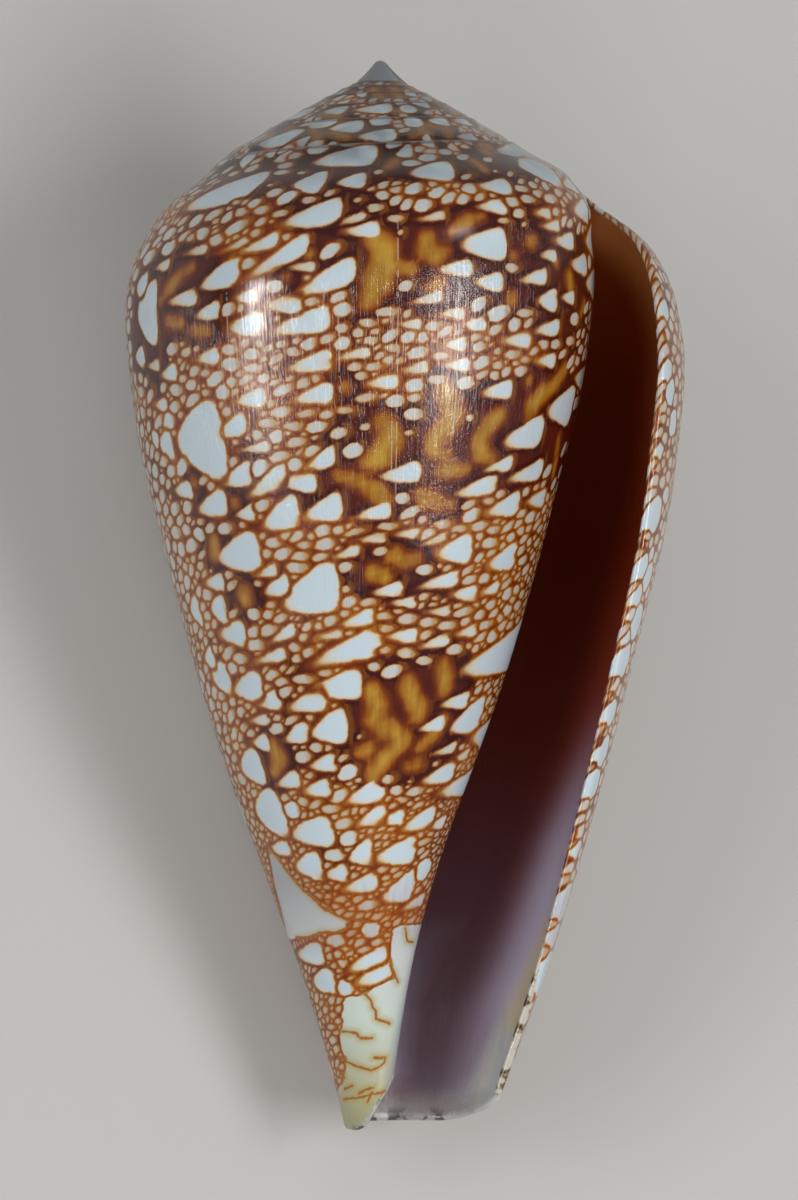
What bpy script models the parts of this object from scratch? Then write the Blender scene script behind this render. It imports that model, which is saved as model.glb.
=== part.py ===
"""A cone shell, empty, lying on its back with the aperture up.

The shell is one wall wound around an axis. Each turn has the shape of the turn before it, only larger, so
every size below is a size of the last turn at its widest side and the rest follows from the growth rate.

Shell frame while modelling: the axis is Y, with the apex at the origin and the base at -Y. The turn angle is
measured from +X towards +Z and grows with the shell. The aperture faces +Z. All sizes are in millimetres
until a point is placed.
"""

import math

import bmesh
import bpy
from mathutils import Matrix, Vector

MM = 0.001

# Growth
GROWTH_PER_TURN = 1.42
FULL_SIZE_ANGLE = 360.0
LIP_ANGLE = 385.0
EARLY_TURNS = 5
STEPS_PER_TURN = 48
FACET_COVER = 1.0 / math.cos(math.pi / STEPS_PER_TURN)

# Outline of the last turn: distance from the apex along the axis, then radius
OUTLINE = (
    (5.45, 9.15),
    (6.5, 10.5),
    (7.8, 11.9),
    (9.55, 14.25),
    (10.7, 15.3),
    (13.65, 16.6),
    (17.0, 17.05),
    (23.5, 16.45),
    (33.5, 14.2),
    (48.2, 10.15),
    (55.6, 7.65),
    (61.5, 5.4),
    (69.7, 2.9),
    (77.5, 1.45),
    (85.0, 0.45),
)

# The early turns have a fuller shoulder than the last one
FULLER_SHOULDER = 1.05
LAST_TURN_SHOULDER = -0.2
SHOULDER_AT = 8.55
SHOULDER_REACH = 1.25
SHOULDER_CHANGES_BY = 150.0

# The upper edge of each turn sits on the turn before it, a little lower on the last turn
SUTURE_AT = 6.46
SUTURE_DROP = 0.73
SUTURE_DROP_CURVE = 1.3
SUTURE_DROP_TURNS = 1.1

# The tip of the spire stands taller than even growth would make it
TIP_LIFT = 0.68
TIP_LIFT_FADE = 4
TIP_RING_SIZES = (0.72, 0.5, 0.33, 0.2)
TIP_BLUNTNESS = 0.17
TIP_CURVE = 0.8

# Lower edge, measured from the apex along the axis, and the turn angles between which it changes
BASE_AT_LIP = 58.4
BASE_AT_BACK = 59.75
BASE_AT_COLUMELLA = 60.0
BASE_AT_INNER_LIP = 57.0
LIP_CORNER_FROM = 325.0
COLUMELLA_BETWEEN = (170.0, 260.0)
INNER_LIP_BETWEEN = (25.0, 150.0)

# Wall and hollow
WALL_AT_LIP = 0.55
WALL_INSIDE = 1.25
WALL_THICKENS_OVER = 45.0
INNER_LIP_GLAZE = 0.15
HOLLOW_ENDS_AT = 30.0
HOLLOW_PAST_LIP = 6.0
HOLLOW_PAST_BASE = 3.0
NARROWEST_HOLLOW = 0.6
HOLLOW_SEARCH_STEP = 0.1
HOLLOW_SECTIONS = 48

# Rows of points along the outline
RAMP_ROWS = 3
BODY_ROWS = 20
BODY_ROW_CROWDING = 1.25
HOLLOW_ROWS = 17

# How the shell rests on its back: the apex end is raised, and it is rolled about its axis. A real round
# back would let it rock, so a little is taken off it, as wear does, and it lies still on that flat.
REST_PITCH = 11.8
REST_ROLL = -12.9
WORN_DEPTH = 0.4

SHELL_COLOUR = (0.62, 0.42, 0.24, 1.0)
SHELL_ROUGHNESS = 0.18


def smooth_step(low, high, value):
    share = min(max((value - low) / (high - low), 0.0), 1.0)
    return share * share * (3.0 - 2.0 * share)


def spread(first, last, count):
    """Evenly spaced values from first to last, with count gaps between them."""
    return [first + (last - first) * index / count for index in range(count + 1)]


def outline_slopes():
    """A slope at each point of the outline, so that the curve through them never overshoots."""
    widths = [end[0] - start[0] for start, end in zip(OUTLINE, OUTLINE[1:])]
    rates = [(end[1] - start[1]) / width for start, end, width in zip(OUTLINE, OUTLINE[1:], widths)]
    slopes = [rates[0]]
    for index in range(1, len(OUTLINE) - 1):
        before, after = rates[index - 1], rates[index]
        if before * after <= 0.0:
            slopes.append(0.0)
            continue
        weight_before = 2.0 * widths[index] + widths[index - 1]
        weight_after = widths[index] + 2.0 * widths[index - 1]
        slopes.append((weight_before + weight_after) / (weight_before / before + weight_after / after))
    return slopes + [rates[-1]]


OUTLINE_SLOPES = outline_slopes()


def outline_radius(distance):
    """Radius of the last turn at a distance from the apex."""
    distance = min(max(distance, OUTLINE[0][0]), OUTLINE[-1][0])
    index = 0
    while index < len(OUTLINE) - 2 and distance > OUTLINE[index + 1][0]:
        index += 1
    start, first = OUTLINE[index]
    end, last = OUTLINE[index + 1]
    width = end - start
    t = (distance - start) / width
    pull = t * (1 - t) * width * ((1 - t) * OUTLINE_SLOPES[index] - t * OUTLINE_SLOPES[index + 1])
    return (1 + 2 * t) * (1 - t) ** 2 * first + (3 - 2 * t) * t * t * last + pull


def growth(angle):
    """Size of the shell at a turn angle, 1 on the right side of the last turn."""
    return GROWTH_PER_TURN ** ((angle - FULL_SIZE_ANGLE) / 360.0)


def tip_lift(angle):
    return TIP_LIFT * (1.0 - min(growth(angle), 1.0)) ** TIP_LIFT_FADE


def wall_radius(angle, distance):
    """Radius of the wall's outer face."""
    size = growth(angle)
    own_distance = (distance - tip_lift(angle)) / size
    change = smooth_step(0.0, SHOULDER_CHANGES_BY, angle)
    fullness = FULLER_SHOULDER + (LAST_TURN_SHOULDER - FULLER_SHOULDER) * change
    bump = fullness * math.exp(-((own_distance - SHOULDER_AT) / SHOULDER_REACH) ** 2)
    return size * (outline_radius(own_distance) + bump)


def suture_distance(angle):
    """Distance from the apex of the wall's upper edge."""
    turns = min(max(angle / FULL_SIZE_ANGLE, 0.0), SUTURE_DROP_TURNS)
    return growth(angle) * (SUTURE_AT + SUTURE_DROP * turns ** SUTURE_DROP_CURVE) + tip_lift(angle)


def base_distance(angle):
    """Distance from the apex of the wall's lower edge, with a rounded corner at the lip."""
    inner_lip = BASE_AT_INNER_LIP
    columella = inner_lip + (BASE_AT_COLUMELLA - inner_lip) * smooth_step(*INNER_LIP_BETWEEN, angle)
    back = columella + (BASE_AT_BACK - BASE_AT_COLUMELLA) * smooth_step(*COLUMELLA_BETWEEN, angle)
    return back + (BASE_AT_LIP - BASE_AT_BACK) * smooth_step(LIP_CORNER_FROM, LIP_ANGLE, angle)


def wall_thickness(angle):
    inside = smooth_step(0.0, WALL_THICKENS_OVER, LIP_ANGLE - angle)
    return WALL_AT_LIP + (WALL_INSIDE - WALL_AT_LIP) * inside


def placed(angle, radius, distance):
    """A point in the shell frame, in metres. The flat facets stand just outside the round wall."""
    turn = math.radians(angle)
    radius *= FACET_COVER
    return Vector((radius * math.cos(turn), -distance, radius * math.sin(turn))) * MM


def ramp_points(angle):
    """From this turn's upper edge to the next turn's."""
    rows = spread(suture_distance(angle), suture_distance(angle + 360.0), RAMP_ROWS)
    return [(wall_radius(angle, row), row) for row in rows]


def body_points(angle):
    """From the ramp to the base, closer together at the shoulder."""
    top = suture_distance(angle + 360.0)
    length = base_distance(angle) - top
    rows = [top + length * share ** BODY_ROW_CROWDING for share in spread(0.0, 1.0, BODY_ROWS)]
    return [(wall_radius(angle, row), row) for row in rows[1:]]


def shell_columns(shell):
    """One column of points for each step of growth. Only the last turn reaches the base."""
    step_angle = 360.0 / STEPS_PER_TURN
    last_turn = EARLY_TURNS * STEPS_PER_TURN
    first_angle = LIP_ANGLE - 360.0 * (EARLY_TURNS + 1)
    columns = []
    for step in range(last_turn + STEPS_PER_TURN + 1):
        angle = first_angle + step * step_angle
        points = ramp_points(angle)
        if step >= last_turn:
            points += body_points(angle)
        columns.append([shell.verts.new(placed(angle, *point)) for point in points])
    return columns


def add_turns(shell, columns):
    """The wall's outer face, and at each suture the small step up to the next turn."""
    last_turn = EARLY_TURNS * STEPS_PER_TURN
    for step in range(len(columns) - 1):
        here, ahead = columns[step], columns[step + 1]
        rows = RAMP_ROWS if step < last_turn else RAMP_ROWS + BODY_ROWS
        for row in range(rows):
            shell.faces.new((here[row], here[row + 1], ahead[row + 1], ahead[row]))
        if step < last_turn:
            edge = columns[step + STEPS_PER_TURN][0]
            edge_ahead = columns[step + STEPS_PER_TURN + 1][0]
            shell.faces.new((here[RAMP_ROWS], edge, edge_ahead, ahead[RAMP_ROWS]))


def add_tip(shell, columns):
    """A blunt, smooth tip over the start of the first turn."""
    rim = [column[0] for column in columns[:STEPS_PER_TURN + 1]] + columns[0][RAMP_ROWS:0:-1]
    outer = rim
    for size in TIP_RING_SIZES:
        sink = ((size - TIP_BLUNTNESS) / (1.0 - TIP_BLUNTNESS)) ** TIP_CURVE
        ring = [shell.verts.new((vert.co.x * size, vert.co.y * sink, vert.co.z * size)) for vert in rim]
        for index in range(len(rim)):
            after = (index + 1) % len(rim)
            shell.faces.new((outer[index], outer[after], ring[after], ring[index]))
        outer = ring
    shell.faces.new(outer)


def add_base_and_lip_face(shell, columns):
    """Closes the last turn below and at the lip. The hollow then opens both."""
    last_turn = EARLY_TURNS * STEPS_PER_TURN
    centre = shell.verts.new(placed(0.0, 0.0, BASE_AT_INNER_LIP))
    for here, ahead in zip(columns[last_turn:], columns[last_turn + 1:]):
        shell.faces.new((here[-1], centre, ahead[-1]))
    lip, under_lip = columns[-1], columns[last_turn]
    shell.faces.new(lip + [centre] + under_lip[:RAMP_ROWS - 1:-1])


def hollow_walls(angle, distance):
    """Inner and outer radius of the hollow: the turn before, glazed, and the inside of the wall."""
    inner = wall_radius(angle - 360.0, distance) + INNER_LIP_GLAZE
    return inner, wall_radius(angle, distance) - wall_thickness(angle)


def hollow_section(angle):
    """The hollow's outline at one turn angle, down its inner side and up its outer side."""
    search_end = BASE_AT_COLUMELLA + HOLLOW_PAST_BASE
    steps = int((search_end - suture_distance(angle)) / HOLLOW_SEARCH_STEP)
    distances = spread(suture_distance(angle), search_end, steps)
    open_at = []
    for distance in distances:
        inner, outer = hollow_walls(angle, distance)
        if outer - inner >= NARROWEST_HOLLOW:
            open_at.append(distance)
    rows = spread(open_at[0], open_at[-1], HOLLOW_ROWS)
    down = [(hollow_walls(angle, row)[0], row) for row in rows]
    up = [(hollow_walls(angle, row)[1], row) for row in reversed(rows)]
    return down + up


def make_hollow(rest):
    """The tool that hollows the last turn, from the lip back around the shell."""
    hollow = bmesh.new()
    loops = []
    for angle in spread(HOLLOW_ENDS_AT, LIP_ANGLE + HOLLOW_PAST_LIP, HOLLOW_SECTIONS):
        loops.append([hollow.verts.new(placed(angle, *point)) for point in hollow_section(angle)])
    for here, ahead in zip(loops, loops[1:]):
        for index in range(len(here)):
            after = (index + 1) % len(here)
            hollow.faces.new((here[index], here[after], ahead[after], ahead[index]))
    hollow.faces.new(loops[0])
    hollow.faces.new(loops[-1])
    bmesh.ops.recalc_face_normals(hollow, faces=hollow.faces)
    tool = bpy.data.objects.new("hollow", bpy.data.meshes.new("hollow"))
    hollow.to_mesh(tool.data)
    hollow.free()
    tool.data.transform(rest)
    tool.hide_render = True
    tool.display_type = "WIRE"
    bpy.context.collection.objects.link(tool)
    return tool


def rest_on_floor(verts):
    """Turns the shell on its back, its worn part just under the floor and its box over the origin."""
    pitch = Matrix.Rotation(math.radians(REST_PITCH), 4, "X")
    turned = pitch @ Matrix.Rotation(math.radians(REST_ROLL), 4, "Y")
    points = [turned @ vert.co for vert in verts]
    middle_x = (min(p.x for p in points) + max(p.x for p in points)) / 2.0
    middle_y = (min(p.y for p in points) + max(p.y for p in points)) / 2.0
    lowest = min(p.z for p in points)
    return Matrix.Translation((-middle_x, -middle_y, -lowest - WORN_DEPTH * MM)) @ turned


def wear_the_back(shell):
    """Takes off what is below the floor and closes the cut with one flat face."""
    everything = shell.verts[:] + shell.edges[:] + shell.faces[:]
    cut = bmesh.ops.bisect_plane(
        shell, geom=everything, plane_co=(0.0, 0.0, 0.0), plane_no=(0.0, 0.0, 1.0), clear_inner=True
    )
    rim = [edge for edge in cut["geom_cut"] if isinstance(edge, bmesh.types.BMEdge)]
    bmesh.ops.edgenet_fill(shell, edges=rim)


def make_shell():
    shell = bmesh.new()
    columns = shell_columns(shell)
    add_turns(shell, columns)
    add_tip(shell, columns)
    add_base_and_lip_face(shell, columns)
    rest = rest_on_floor(shell.verts)
    shell.transform(rest)
    wear_the_back(shell)
    bmesh.ops.recalc_face_normals(shell, faces=shell.faces)
    body = bpy.data.objects.new("shell", bpy.data.meshes.new("shell"))
    shell.to_mesh(body.data)
    shell.free()
    bpy.context.collection.objects.link(body)

    cut = body.modifiers.new("hollow", "BOOLEAN")
    cut.operation = "DIFFERENCE"
    cut.solver = "EXACT"
    cut.object = make_hollow(rest)
    return body


def shell_material():
    material = bpy.data.materials.new("glossy shell")
    material.use_nodes = True
    shader = material.node_tree.nodes["Principled BSDF"]
    shader.inputs["Base Color"].default_value = SHELL_COLOUR
    shader.inputs["Roughness"].default_value = SHELL_ROUGHNESS
    shader.inputs["Metallic"].default_value = 0.0
    return material


for old in list(bpy.data.objects):
    bpy.data.objects.remove(old)

shell = make_shell()
shell.data.materials.append(shell_material())
shell.data.shade_smooth()
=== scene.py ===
"""The looks of an empty cone shell that lies on its back with the aperture up."""

import math

import bpy
import mathutils
import numpy as np
from mathutils import Matrix, Vector


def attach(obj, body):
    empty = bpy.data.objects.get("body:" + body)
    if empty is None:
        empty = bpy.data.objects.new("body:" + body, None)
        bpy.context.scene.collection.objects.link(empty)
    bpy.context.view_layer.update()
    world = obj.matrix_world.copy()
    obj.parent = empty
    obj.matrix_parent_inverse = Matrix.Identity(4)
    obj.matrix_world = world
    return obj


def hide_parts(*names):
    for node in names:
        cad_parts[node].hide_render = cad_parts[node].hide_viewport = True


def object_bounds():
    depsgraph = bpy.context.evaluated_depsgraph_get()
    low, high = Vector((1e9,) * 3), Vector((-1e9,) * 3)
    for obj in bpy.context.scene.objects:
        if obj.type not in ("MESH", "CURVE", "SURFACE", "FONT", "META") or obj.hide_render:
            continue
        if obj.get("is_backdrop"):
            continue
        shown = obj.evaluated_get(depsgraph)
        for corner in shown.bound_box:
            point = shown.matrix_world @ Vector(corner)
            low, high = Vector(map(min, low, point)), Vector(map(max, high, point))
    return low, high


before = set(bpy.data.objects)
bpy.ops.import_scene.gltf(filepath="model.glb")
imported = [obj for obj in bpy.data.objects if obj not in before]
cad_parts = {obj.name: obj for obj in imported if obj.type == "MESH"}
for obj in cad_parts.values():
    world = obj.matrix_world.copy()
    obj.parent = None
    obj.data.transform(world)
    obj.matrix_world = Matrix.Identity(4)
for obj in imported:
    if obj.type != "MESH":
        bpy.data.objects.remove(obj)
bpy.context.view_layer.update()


# Form of the shell
# One wall of porcelain-like aragonite, which the animal wound around an axis by adding to the lip. It is
# modelled as grids of small faces that are wound into place. Sizes are in millimetres on the full-size last
# turn, turn angles in degrees, and distances run along the axis from the apex.

MM = 0.001
GROWTH_PER_TURN = 1.42
FULL_SIZE_ANGLE = 360.0
EARLY_TURNS = 5

# Outline of the last turn: distance from the apex, then radius
OUTLINE = np.array((
    (5.45, 9.15),
    (6.5, 10.5),
    (7.8, 11.9),
    (9.55, 14.25),
    (10.7, 15.3),
    (13.65, 16.6),
    (17.0, 17.05),
    (23.5, 16.45),
    (33.5, 14.2),
    (48.2, 10.15),
    (55.6, 7.52),
    (61.5, 5.3),
    (69.7, 2.9),
    (77.5, 1.45),
    (85.0, 0.45),
))

FULLER_SHOULDER = 1.05
LAST_TURN_SHOULDER = -0.2
SHOULDER_AT = 8.55
SHOULDER_REACH = 1.25
SHOULDER_CHANGES_BY = 150.0
SQUARER_SHOULDER = 0.85
SQUARER_AT = 11.2
SQUARER_REACH = 2.0
SQUARER_BETWEEN = (-150.0, -30.0, 30.0, 140.0)
ROUNDER_SHOULDER = 0.35
ROUNDER_BETWEEN = (110.0, 170.0, 230.0, 310.0)
NARROWER_BASE = 0.35
NARROWER_FROM = (40.0, 54.0)
NARROWER_BETWEEN = (60.0, 150.0, 250.0, 340.0)

SUTURE_AT = 6.46
SUTURE_DROP = 0.73
SUTURE_DROP_CURVE = 1.3
SUTURE_DROP_TURNS = 1.1
SUTURE_ROUNDING = 0.16

TIP_LIFT = 0.68
TIP_LIFT_FADE = 4
TIP_BLUNTNESS = 0.17
TIP_CURVE = 0.8
TIP_DOME = 0.24

BASE_AT_LIP = 57.5
BASE_AT_BACK = 59.6
BASE_AT_COLUMELLA = 59.9
BASE_AT_INNER_LIP = 57.0
BASE_MIDDLE = 57.4
LIP_CORNER = (300.0, 375.0)
COLUMELLA_BETWEEN = (170.0, 260.0)
INNER_LIP_BETWEEN = (25.0, 165.0)

# How far past full size the lip has grown, in degrees, at distances from the apex
LIP_REACH = np.array((
    (7.3, -4.0),
    (8.3, 4.0),
    (9.5, 10.5),
    (11.0, 17.0),
    (13.0, 21.5),
    (15.3, 24.2),
    (21.7, 26.2),
    (29.5, 25.2),
    (44.5, 24.3),
    (58.4, 20.5),
))
LIP_AT_SUTURE = FULL_SIZE_ANGLE + LIP_REACH[0, 1]
LIP_BENDS_FROM = 240.0

WALL_AT_LIP = 0.5
WALL_INSIDE = 1.2
WALL_THICKENS_OVER = 45.0
WALL_AT_BASE = 0.45
WALL_THICKENS_UP = 0.12
HOLLOW_STARTS_BELOW_SUTURE = 0.45
HOLLOW_OPENS_OVER = 4.0

COLUMNS_PER_TURN = 270
STEP_ANGLE = 360.0 / COLUMNS_PER_TURN
SUTURE_ROWS = 2
RAMP_ROWS = 16
BODY_ROWS = 144
EDGE_ROWS = 4
TIP_RINGS = (1.0, 0.88, 0.76, 0.64, 0.52, 0.4, 0.3, 0.22, 0.14, 0.06)
FINE_POINTS = 500
HOLLOW_FIRST_COLUMN = 50
HOLLOW_COARSE_STEP = 8
HOLLOW_FINE_FROM = 226

REST_PITCH = 11.8
REST_ROLL = -12.9
WORN_DEPTH = 0.37


def smooth_step(low, high, value):
    """0 up to the low limit, 1 from the high one, and a smooth rise between them."""
    share = np.clip((value - low) / (high - low), 0.0, 1.0)
    return share * share * (3.0 - 2.0 * share)


def between(limits, value):
    """1 between the middle two of four limits, 0 outside the outer two."""
    return smooth_step(*limits[:2], value) * (1.0 - smooth_step(*limits[2:], value))


def outline_slopes():
    """A slope at each point of the outline, so that the curve through them never overshoots."""
    widths = np.diff(OUTLINE[:, 0])
    rates = np.diff(OUTLINE[:, 1]) / widths
    slopes = [rates[0]]
    for index in range(1, len(OUTLINE) - 1):
        before, after = rates[index - 1], rates[index]
        if before * after <= 0.0:
            slopes.append(0.0)
            continue
        weight_before = 2.0 * widths[index] + widths[index - 1]
        weight_after = widths[index] + 2.0 * widths[index - 1]
        slopes.append((weight_before + weight_after) / (weight_before / before + weight_after / after))
    return np.array(slopes + [rates[-1]])


OUTLINE_SLOPES = outline_slopes()


def outline_radius(distance):
    """Radius of the smooth outline at a distance from the apex."""
    distance = np.clip(distance, OUTLINE[0, 0], OUTLINE[-1, 0])
    index = np.clip(np.searchsorted(OUTLINE[:, 0], distance, side="right") - 1, 0, len(OUTLINE) - 2)
    width = OUTLINE[index + 1, 0] - OUTLINE[index, 0]
    share = (distance - OUTLINE[index, 0]) / width
    rest = 1.0 - share
    before, after = OUTLINE[index, 1], OUTLINE[index + 1, 1]
    bend = share * rest * width * (rest * OUTLINE_SLOPES[index] - share * OUTLINE_SLOPES[index + 1])
    return (1 + 2 * share) * rest ** 2 * before + (1 + 2 * rest) * share ** 2 * after + bend


def growth(angle):
    """Size of the shell at a turn angle, 1 at full size."""
    return GROWTH_PER_TURN ** ((angle - FULL_SIZE_ANGLE) / 360.0)


def tip_lift(angle):
    """How far the early turns sit below the apex."""
    return TIP_LIFT * (1.0 - np.minimum(growth(angle), 1.0)) ** TIP_LIFT_FADE


def wall_radius(angle, distance):
    """Radius of the wall's outer face."""
    size = growth(angle)
    own_distance = (distance - tip_lift(angle)) / size
    change = smooth_step(0.0, SHOULDER_CHANGES_BY, angle)
    fullness = FULLER_SHOULDER + (LAST_TURN_SHOULDER - FULLER_SHOULDER) * change
    bump = fullness * np.exp(-((own_distance - SHOULDER_AT) / SHOULDER_REACH) ** 2)
    squarer = SQUARER_SHOULDER * between(SQUARER_BETWEEN, angle)
    squarer = squarer - ROUNDER_SHOULDER * between(ROUNDER_BETWEEN, angle)
    bump = bump + squarer * np.exp(-((own_distance - SQUARER_AT) / SQUARER_REACH) ** 2)
    narrower = NARROWER_BASE * between(NARROWER_BETWEEN, angle)
    bump = bump - narrower * smooth_step(*NARROWER_FROM, own_distance)
    return size * (outline_radius(own_distance) + bump)


def suture_distance(angle):
    """Distance from the apex of the wall's upper edge."""
    turns = np.clip(angle / FULL_SIZE_ANGLE, 0.0, SUTURE_DROP_TURNS)
    return growth(angle) * (SUTURE_AT + SUTURE_DROP * turns ** SUTURE_DROP_CURVE) + tip_lift(angle)


def base_distance(angle):
    """Distance from the apex of the wall's lower edge, with a rounded corner at the lip."""
    inner_lip = BASE_AT_INNER_LIP
    columella = inner_lip + (BASE_AT_COLUMELLA - inner_lip) * smooth_step(*INNER_LIP_BETWEEN, angle)
    back = columella + (BASE_AT_BACK - BASE_AT_COLUMELLA) * smooth_step(*COLUMELLA_BETWEEN, angle)
    return back + (BASE_AT_LIP - BASE_AT_BACK) * smooth_step(*LIP_CORNER, angle)


def lip_angle_at(distance):
    """Turn angle of the lip's edge."""
    return FULL_SIZE_ANGLE + np.interp(distance, LIP_REACH[:, 0], LIP_REACH[:, 1])


def lip_shift(angle, distance):
    """How far a column near the lip is moved along the turn, because the lip isn't straight."""
    return (lip_angle_at(distance) - LIP_AT_SUTURE) * smooth_step(LIP_BENDS_FROM, LIP_AT_SUTURE, angle)


def inner_radius(angle, distance):
    """Radius of the inner face. The wall is thin at the lip and the base, and meets the turn before."""
    behind_lip = lip_angle_at(distance) - angle
    full = WALL_AT_LIP + (WALL_INSIDE - WALL_AT_LIP) * smooth_step(0.0, WALL_THICKENS_OVER, behind_lip)
    above_base = np.maximum(base_distance(angle) - distance, 0.0)
    full = np.minimum(full, WALL_AT_BASE + WALL_THICKENS_UP * above_base)
    outer = wall_radius(angle, distance)
    room = np.maximum(outer - wall_radius(angle - 360.0, distance), 1e-3)
    return outer - room * full / (room ** 4 + full ** 4) ** 0.25


def evenly_down(angle, top, bottom, count):
    """Distances from the apex that are evenly spaced along the wall, and how far down it each is."""
    distance = np.linspace(top, bottom, FINE_POINTS)
    radius = wall_radius(angle, distance)
    length = np.concatenate(([0.0], np.cumsum(np.hypot(np.diff(distance), np.diff(radius)))))
    even = np.linspace(0.0, length[-1], count + 1)
    return np.interp(even, length, distance), even


def ramp_column(angle):
    """Rows from the suture to the next one, over its rounded edge. Gives radius, distance and way down."""
    rounding = SUTURE_ROUNDING * growth(angle)
    suture = suture_distance(angle)
    rise = np.radians(np.linspace(0.0, 90.0, SUTURE_ROWS + 1))[:-1]
    foot = wall_radius(angle - 360.0, suture)
    edge = wall_radius(angle, suture + rounding)
    ramp, way = evenly_down(angle, suture + rounding, suture_distance(angle + 360.0), RAMP_ROWS)
    radius = np.concatenate((foot + (edge - foot) * np.sin(rise), wall_radius(angle, ramp)))
    distance = np.concatenate((suture + rounding * (1.0 - np.cos(rise)), ramp))
    return np.array((radius, distance, np.concatenate((-rounding * np.cos(rise), way))))


def body_column(angle, below=0.0):
    """Rows from the next suture, or from some way below it, to the base."""
    top = suture_distance(angle + 360.0)
    edge = suture_distance(angle) + SUTURE_ROUNDING * growth(angle)
    ramp_way = evenly_down(angle, edge, top + below, 1)[1][-1]
    body, way = evenly_down(angle, top + below, base_distance(angle), BODY_ROWS)
    return np.array((wall_radius(angle, body), body, ramp_way + way))


def turn_point(angle, radius, distance):
    """A point of the upright shell, in millimetres."""
    turn = np.radians(angle)
    return np.stack((radius * np.cos(turn), -distance + 0.0 * turn, radius * np.sin(turn)), axis=-1)


def store(mesh, name, kind, domain, values):
    """Adds an attribute to a mesh."""
    field = {"FLOAT_VECTOR": "vector", "FLOAT_COLOR": "color"}.get(kind, "value")
    values = np.asarray(values).astype(np.int32 if kind == "INT" else np.float32)
    mesh.attributes.new(name, kind, domain).data.foreach_set(field, values.ravel())


def make_sheet(name, points, angle, way, depth, patterned=0):
    """A grid that is wound into place.

    Its growth map holds the turn angle in radians and the way down the wall. Its place attribute holds the
    depth inside the lip, the distance from the apex and the radius.
    """
    rows, columns = points.shape[0] - 1, points.shape[1] - 1
    bpy.ops.object.select_all(action="DESELECT")
    bpy.ops.mesh.primitive_grid_add(x_subdivisions=columns, y_subdivisions=rows)
    sheet = bpy.context.object
    sheet.name = name
    mesh = sheet.data
    mesh.vertices.foreach_set("co", (points * MM).astype(np.float32).ravel())
    corners = np.empty(len(mesh.loops), np.int32)
    mesh.loops.foreach_get("vertex_index", corners)
    mesh.uv_layers[0].name = "growth"
    angle, way, depth = (np.broadcast_to(value, points.shape[:2]) for value in (angle, way, depth))
    values = np.stack((np.radians(angle), way), axis=-1).reshape(-1, 2)[corners]
    mesh.uv_layers[0].uv.foreach_set("vector", values.astype(np.float32).ravel())
    place = np.stack((depth, -points[..., 1], np.hypot(points[..., 0], points[..., 2])), axis=-1)
    store(mesh, "place", "FLOAT_VECTOR", "POINT", place)
    store(mesh, "patterned", "INT", "FACE", np.full(len(mesh.polygons), patterned))
    return sheet


def depth_inside(angle, distance, radius):
    """How far inside the lip a point is, along the turn."""
    return np.radians(lip_angle_at(distance) - angle) * radius


# Depths of the outer face, which count from the lip's edge, and the angle at which the glaze starts
OUTSIDE = -3.0
GLAZE_STARTS_AT = -2.0
LIP_ROUND = 0.5
BULGE = 0.7

first_angles = LIP_AT_SUTURE - 360.0 + STEP_ANGLE * np.arange(COLUMNS_PER_TURN + 1)
sheets = []

# The early turns show only their ramps
for turn in range(EARLY_TURNS, 0, -1):
    angles = first_angles - 360.0 * turn
    radius, distance, way = np.stack([ramp_column(angle) for angle in angles], axis=-1)
    points = turn_point(angles, radius, distance)
    sheets.append(make_sheet(f"turn_{turn}", points, angles, way, OUTSIDE, 1))
    if turn == EARLY_TURNS:
        rim = np.concatenate((points[0], points[:0:-1, 0], points[:1, 0]))
        rim_angles = np.concatenate((angles, np.full(len(rim) - len(angles), angles[-1])))

# The tip closes the start of the first turn with a blunt dome
WAY_ON_TIP = -1.0
ring_sizes = np.array(TIP_RINGS)[:, None]
sink = (np.maximum(ring_sizes - TIP_BLUNTNESS, 0.0) / (1.0 - TIP_BLUNTNESS)) ** TIP_CURVE
dome_edge = ((TIP_DOME - TIP_BLUNTNESS) / (1.0 - TIP_BLUNTNESS)) ** TIP_CURVE
sink = np.where(ring_sizes < TIP_DOME, dome_edge * (ring_sizes / TIP_DOME) ** 2, sink)
points = np.stack((rim[:, 0] * ring_sizes, rim[:, 1] * sink, rim[:, 2] * ring_sizes), axis=-1)
sheets.append(make_sheet("tip", points, rim_angles, WAY_ON_TIP, OUTSIDE))

# The last turn, down to the base
columns = []
for angle in first_angles:
    columns.append(np.concatenate((ramp_column(angle), body_column(angle)[:, 1:]), axis=1))
radius, distance, last_way = np.stack(columns, axis=-1)
last_angles = first_angles + lip_shift(first_angles, distance)
radius = np.where(last_angles == first_angles, radius, wall_radius(last_angles, distance))
radius[0] = wall_radius(first_angles - 360.0, distance[0])
last_points, last_radius = turn_point(last_angles, radius, distance), radius
depth = -depth_inside(last_angles, distance, radius) - LIP_ROUND
depth = np.maximum(depth, np.radians(GLAZE_STARTS_AT - last_angles) * radius)
sheets.append(make_sheet("last_turn", last_points, last_angles, last_way, np.maximum(depth, OUTSIDE), 1))

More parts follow.
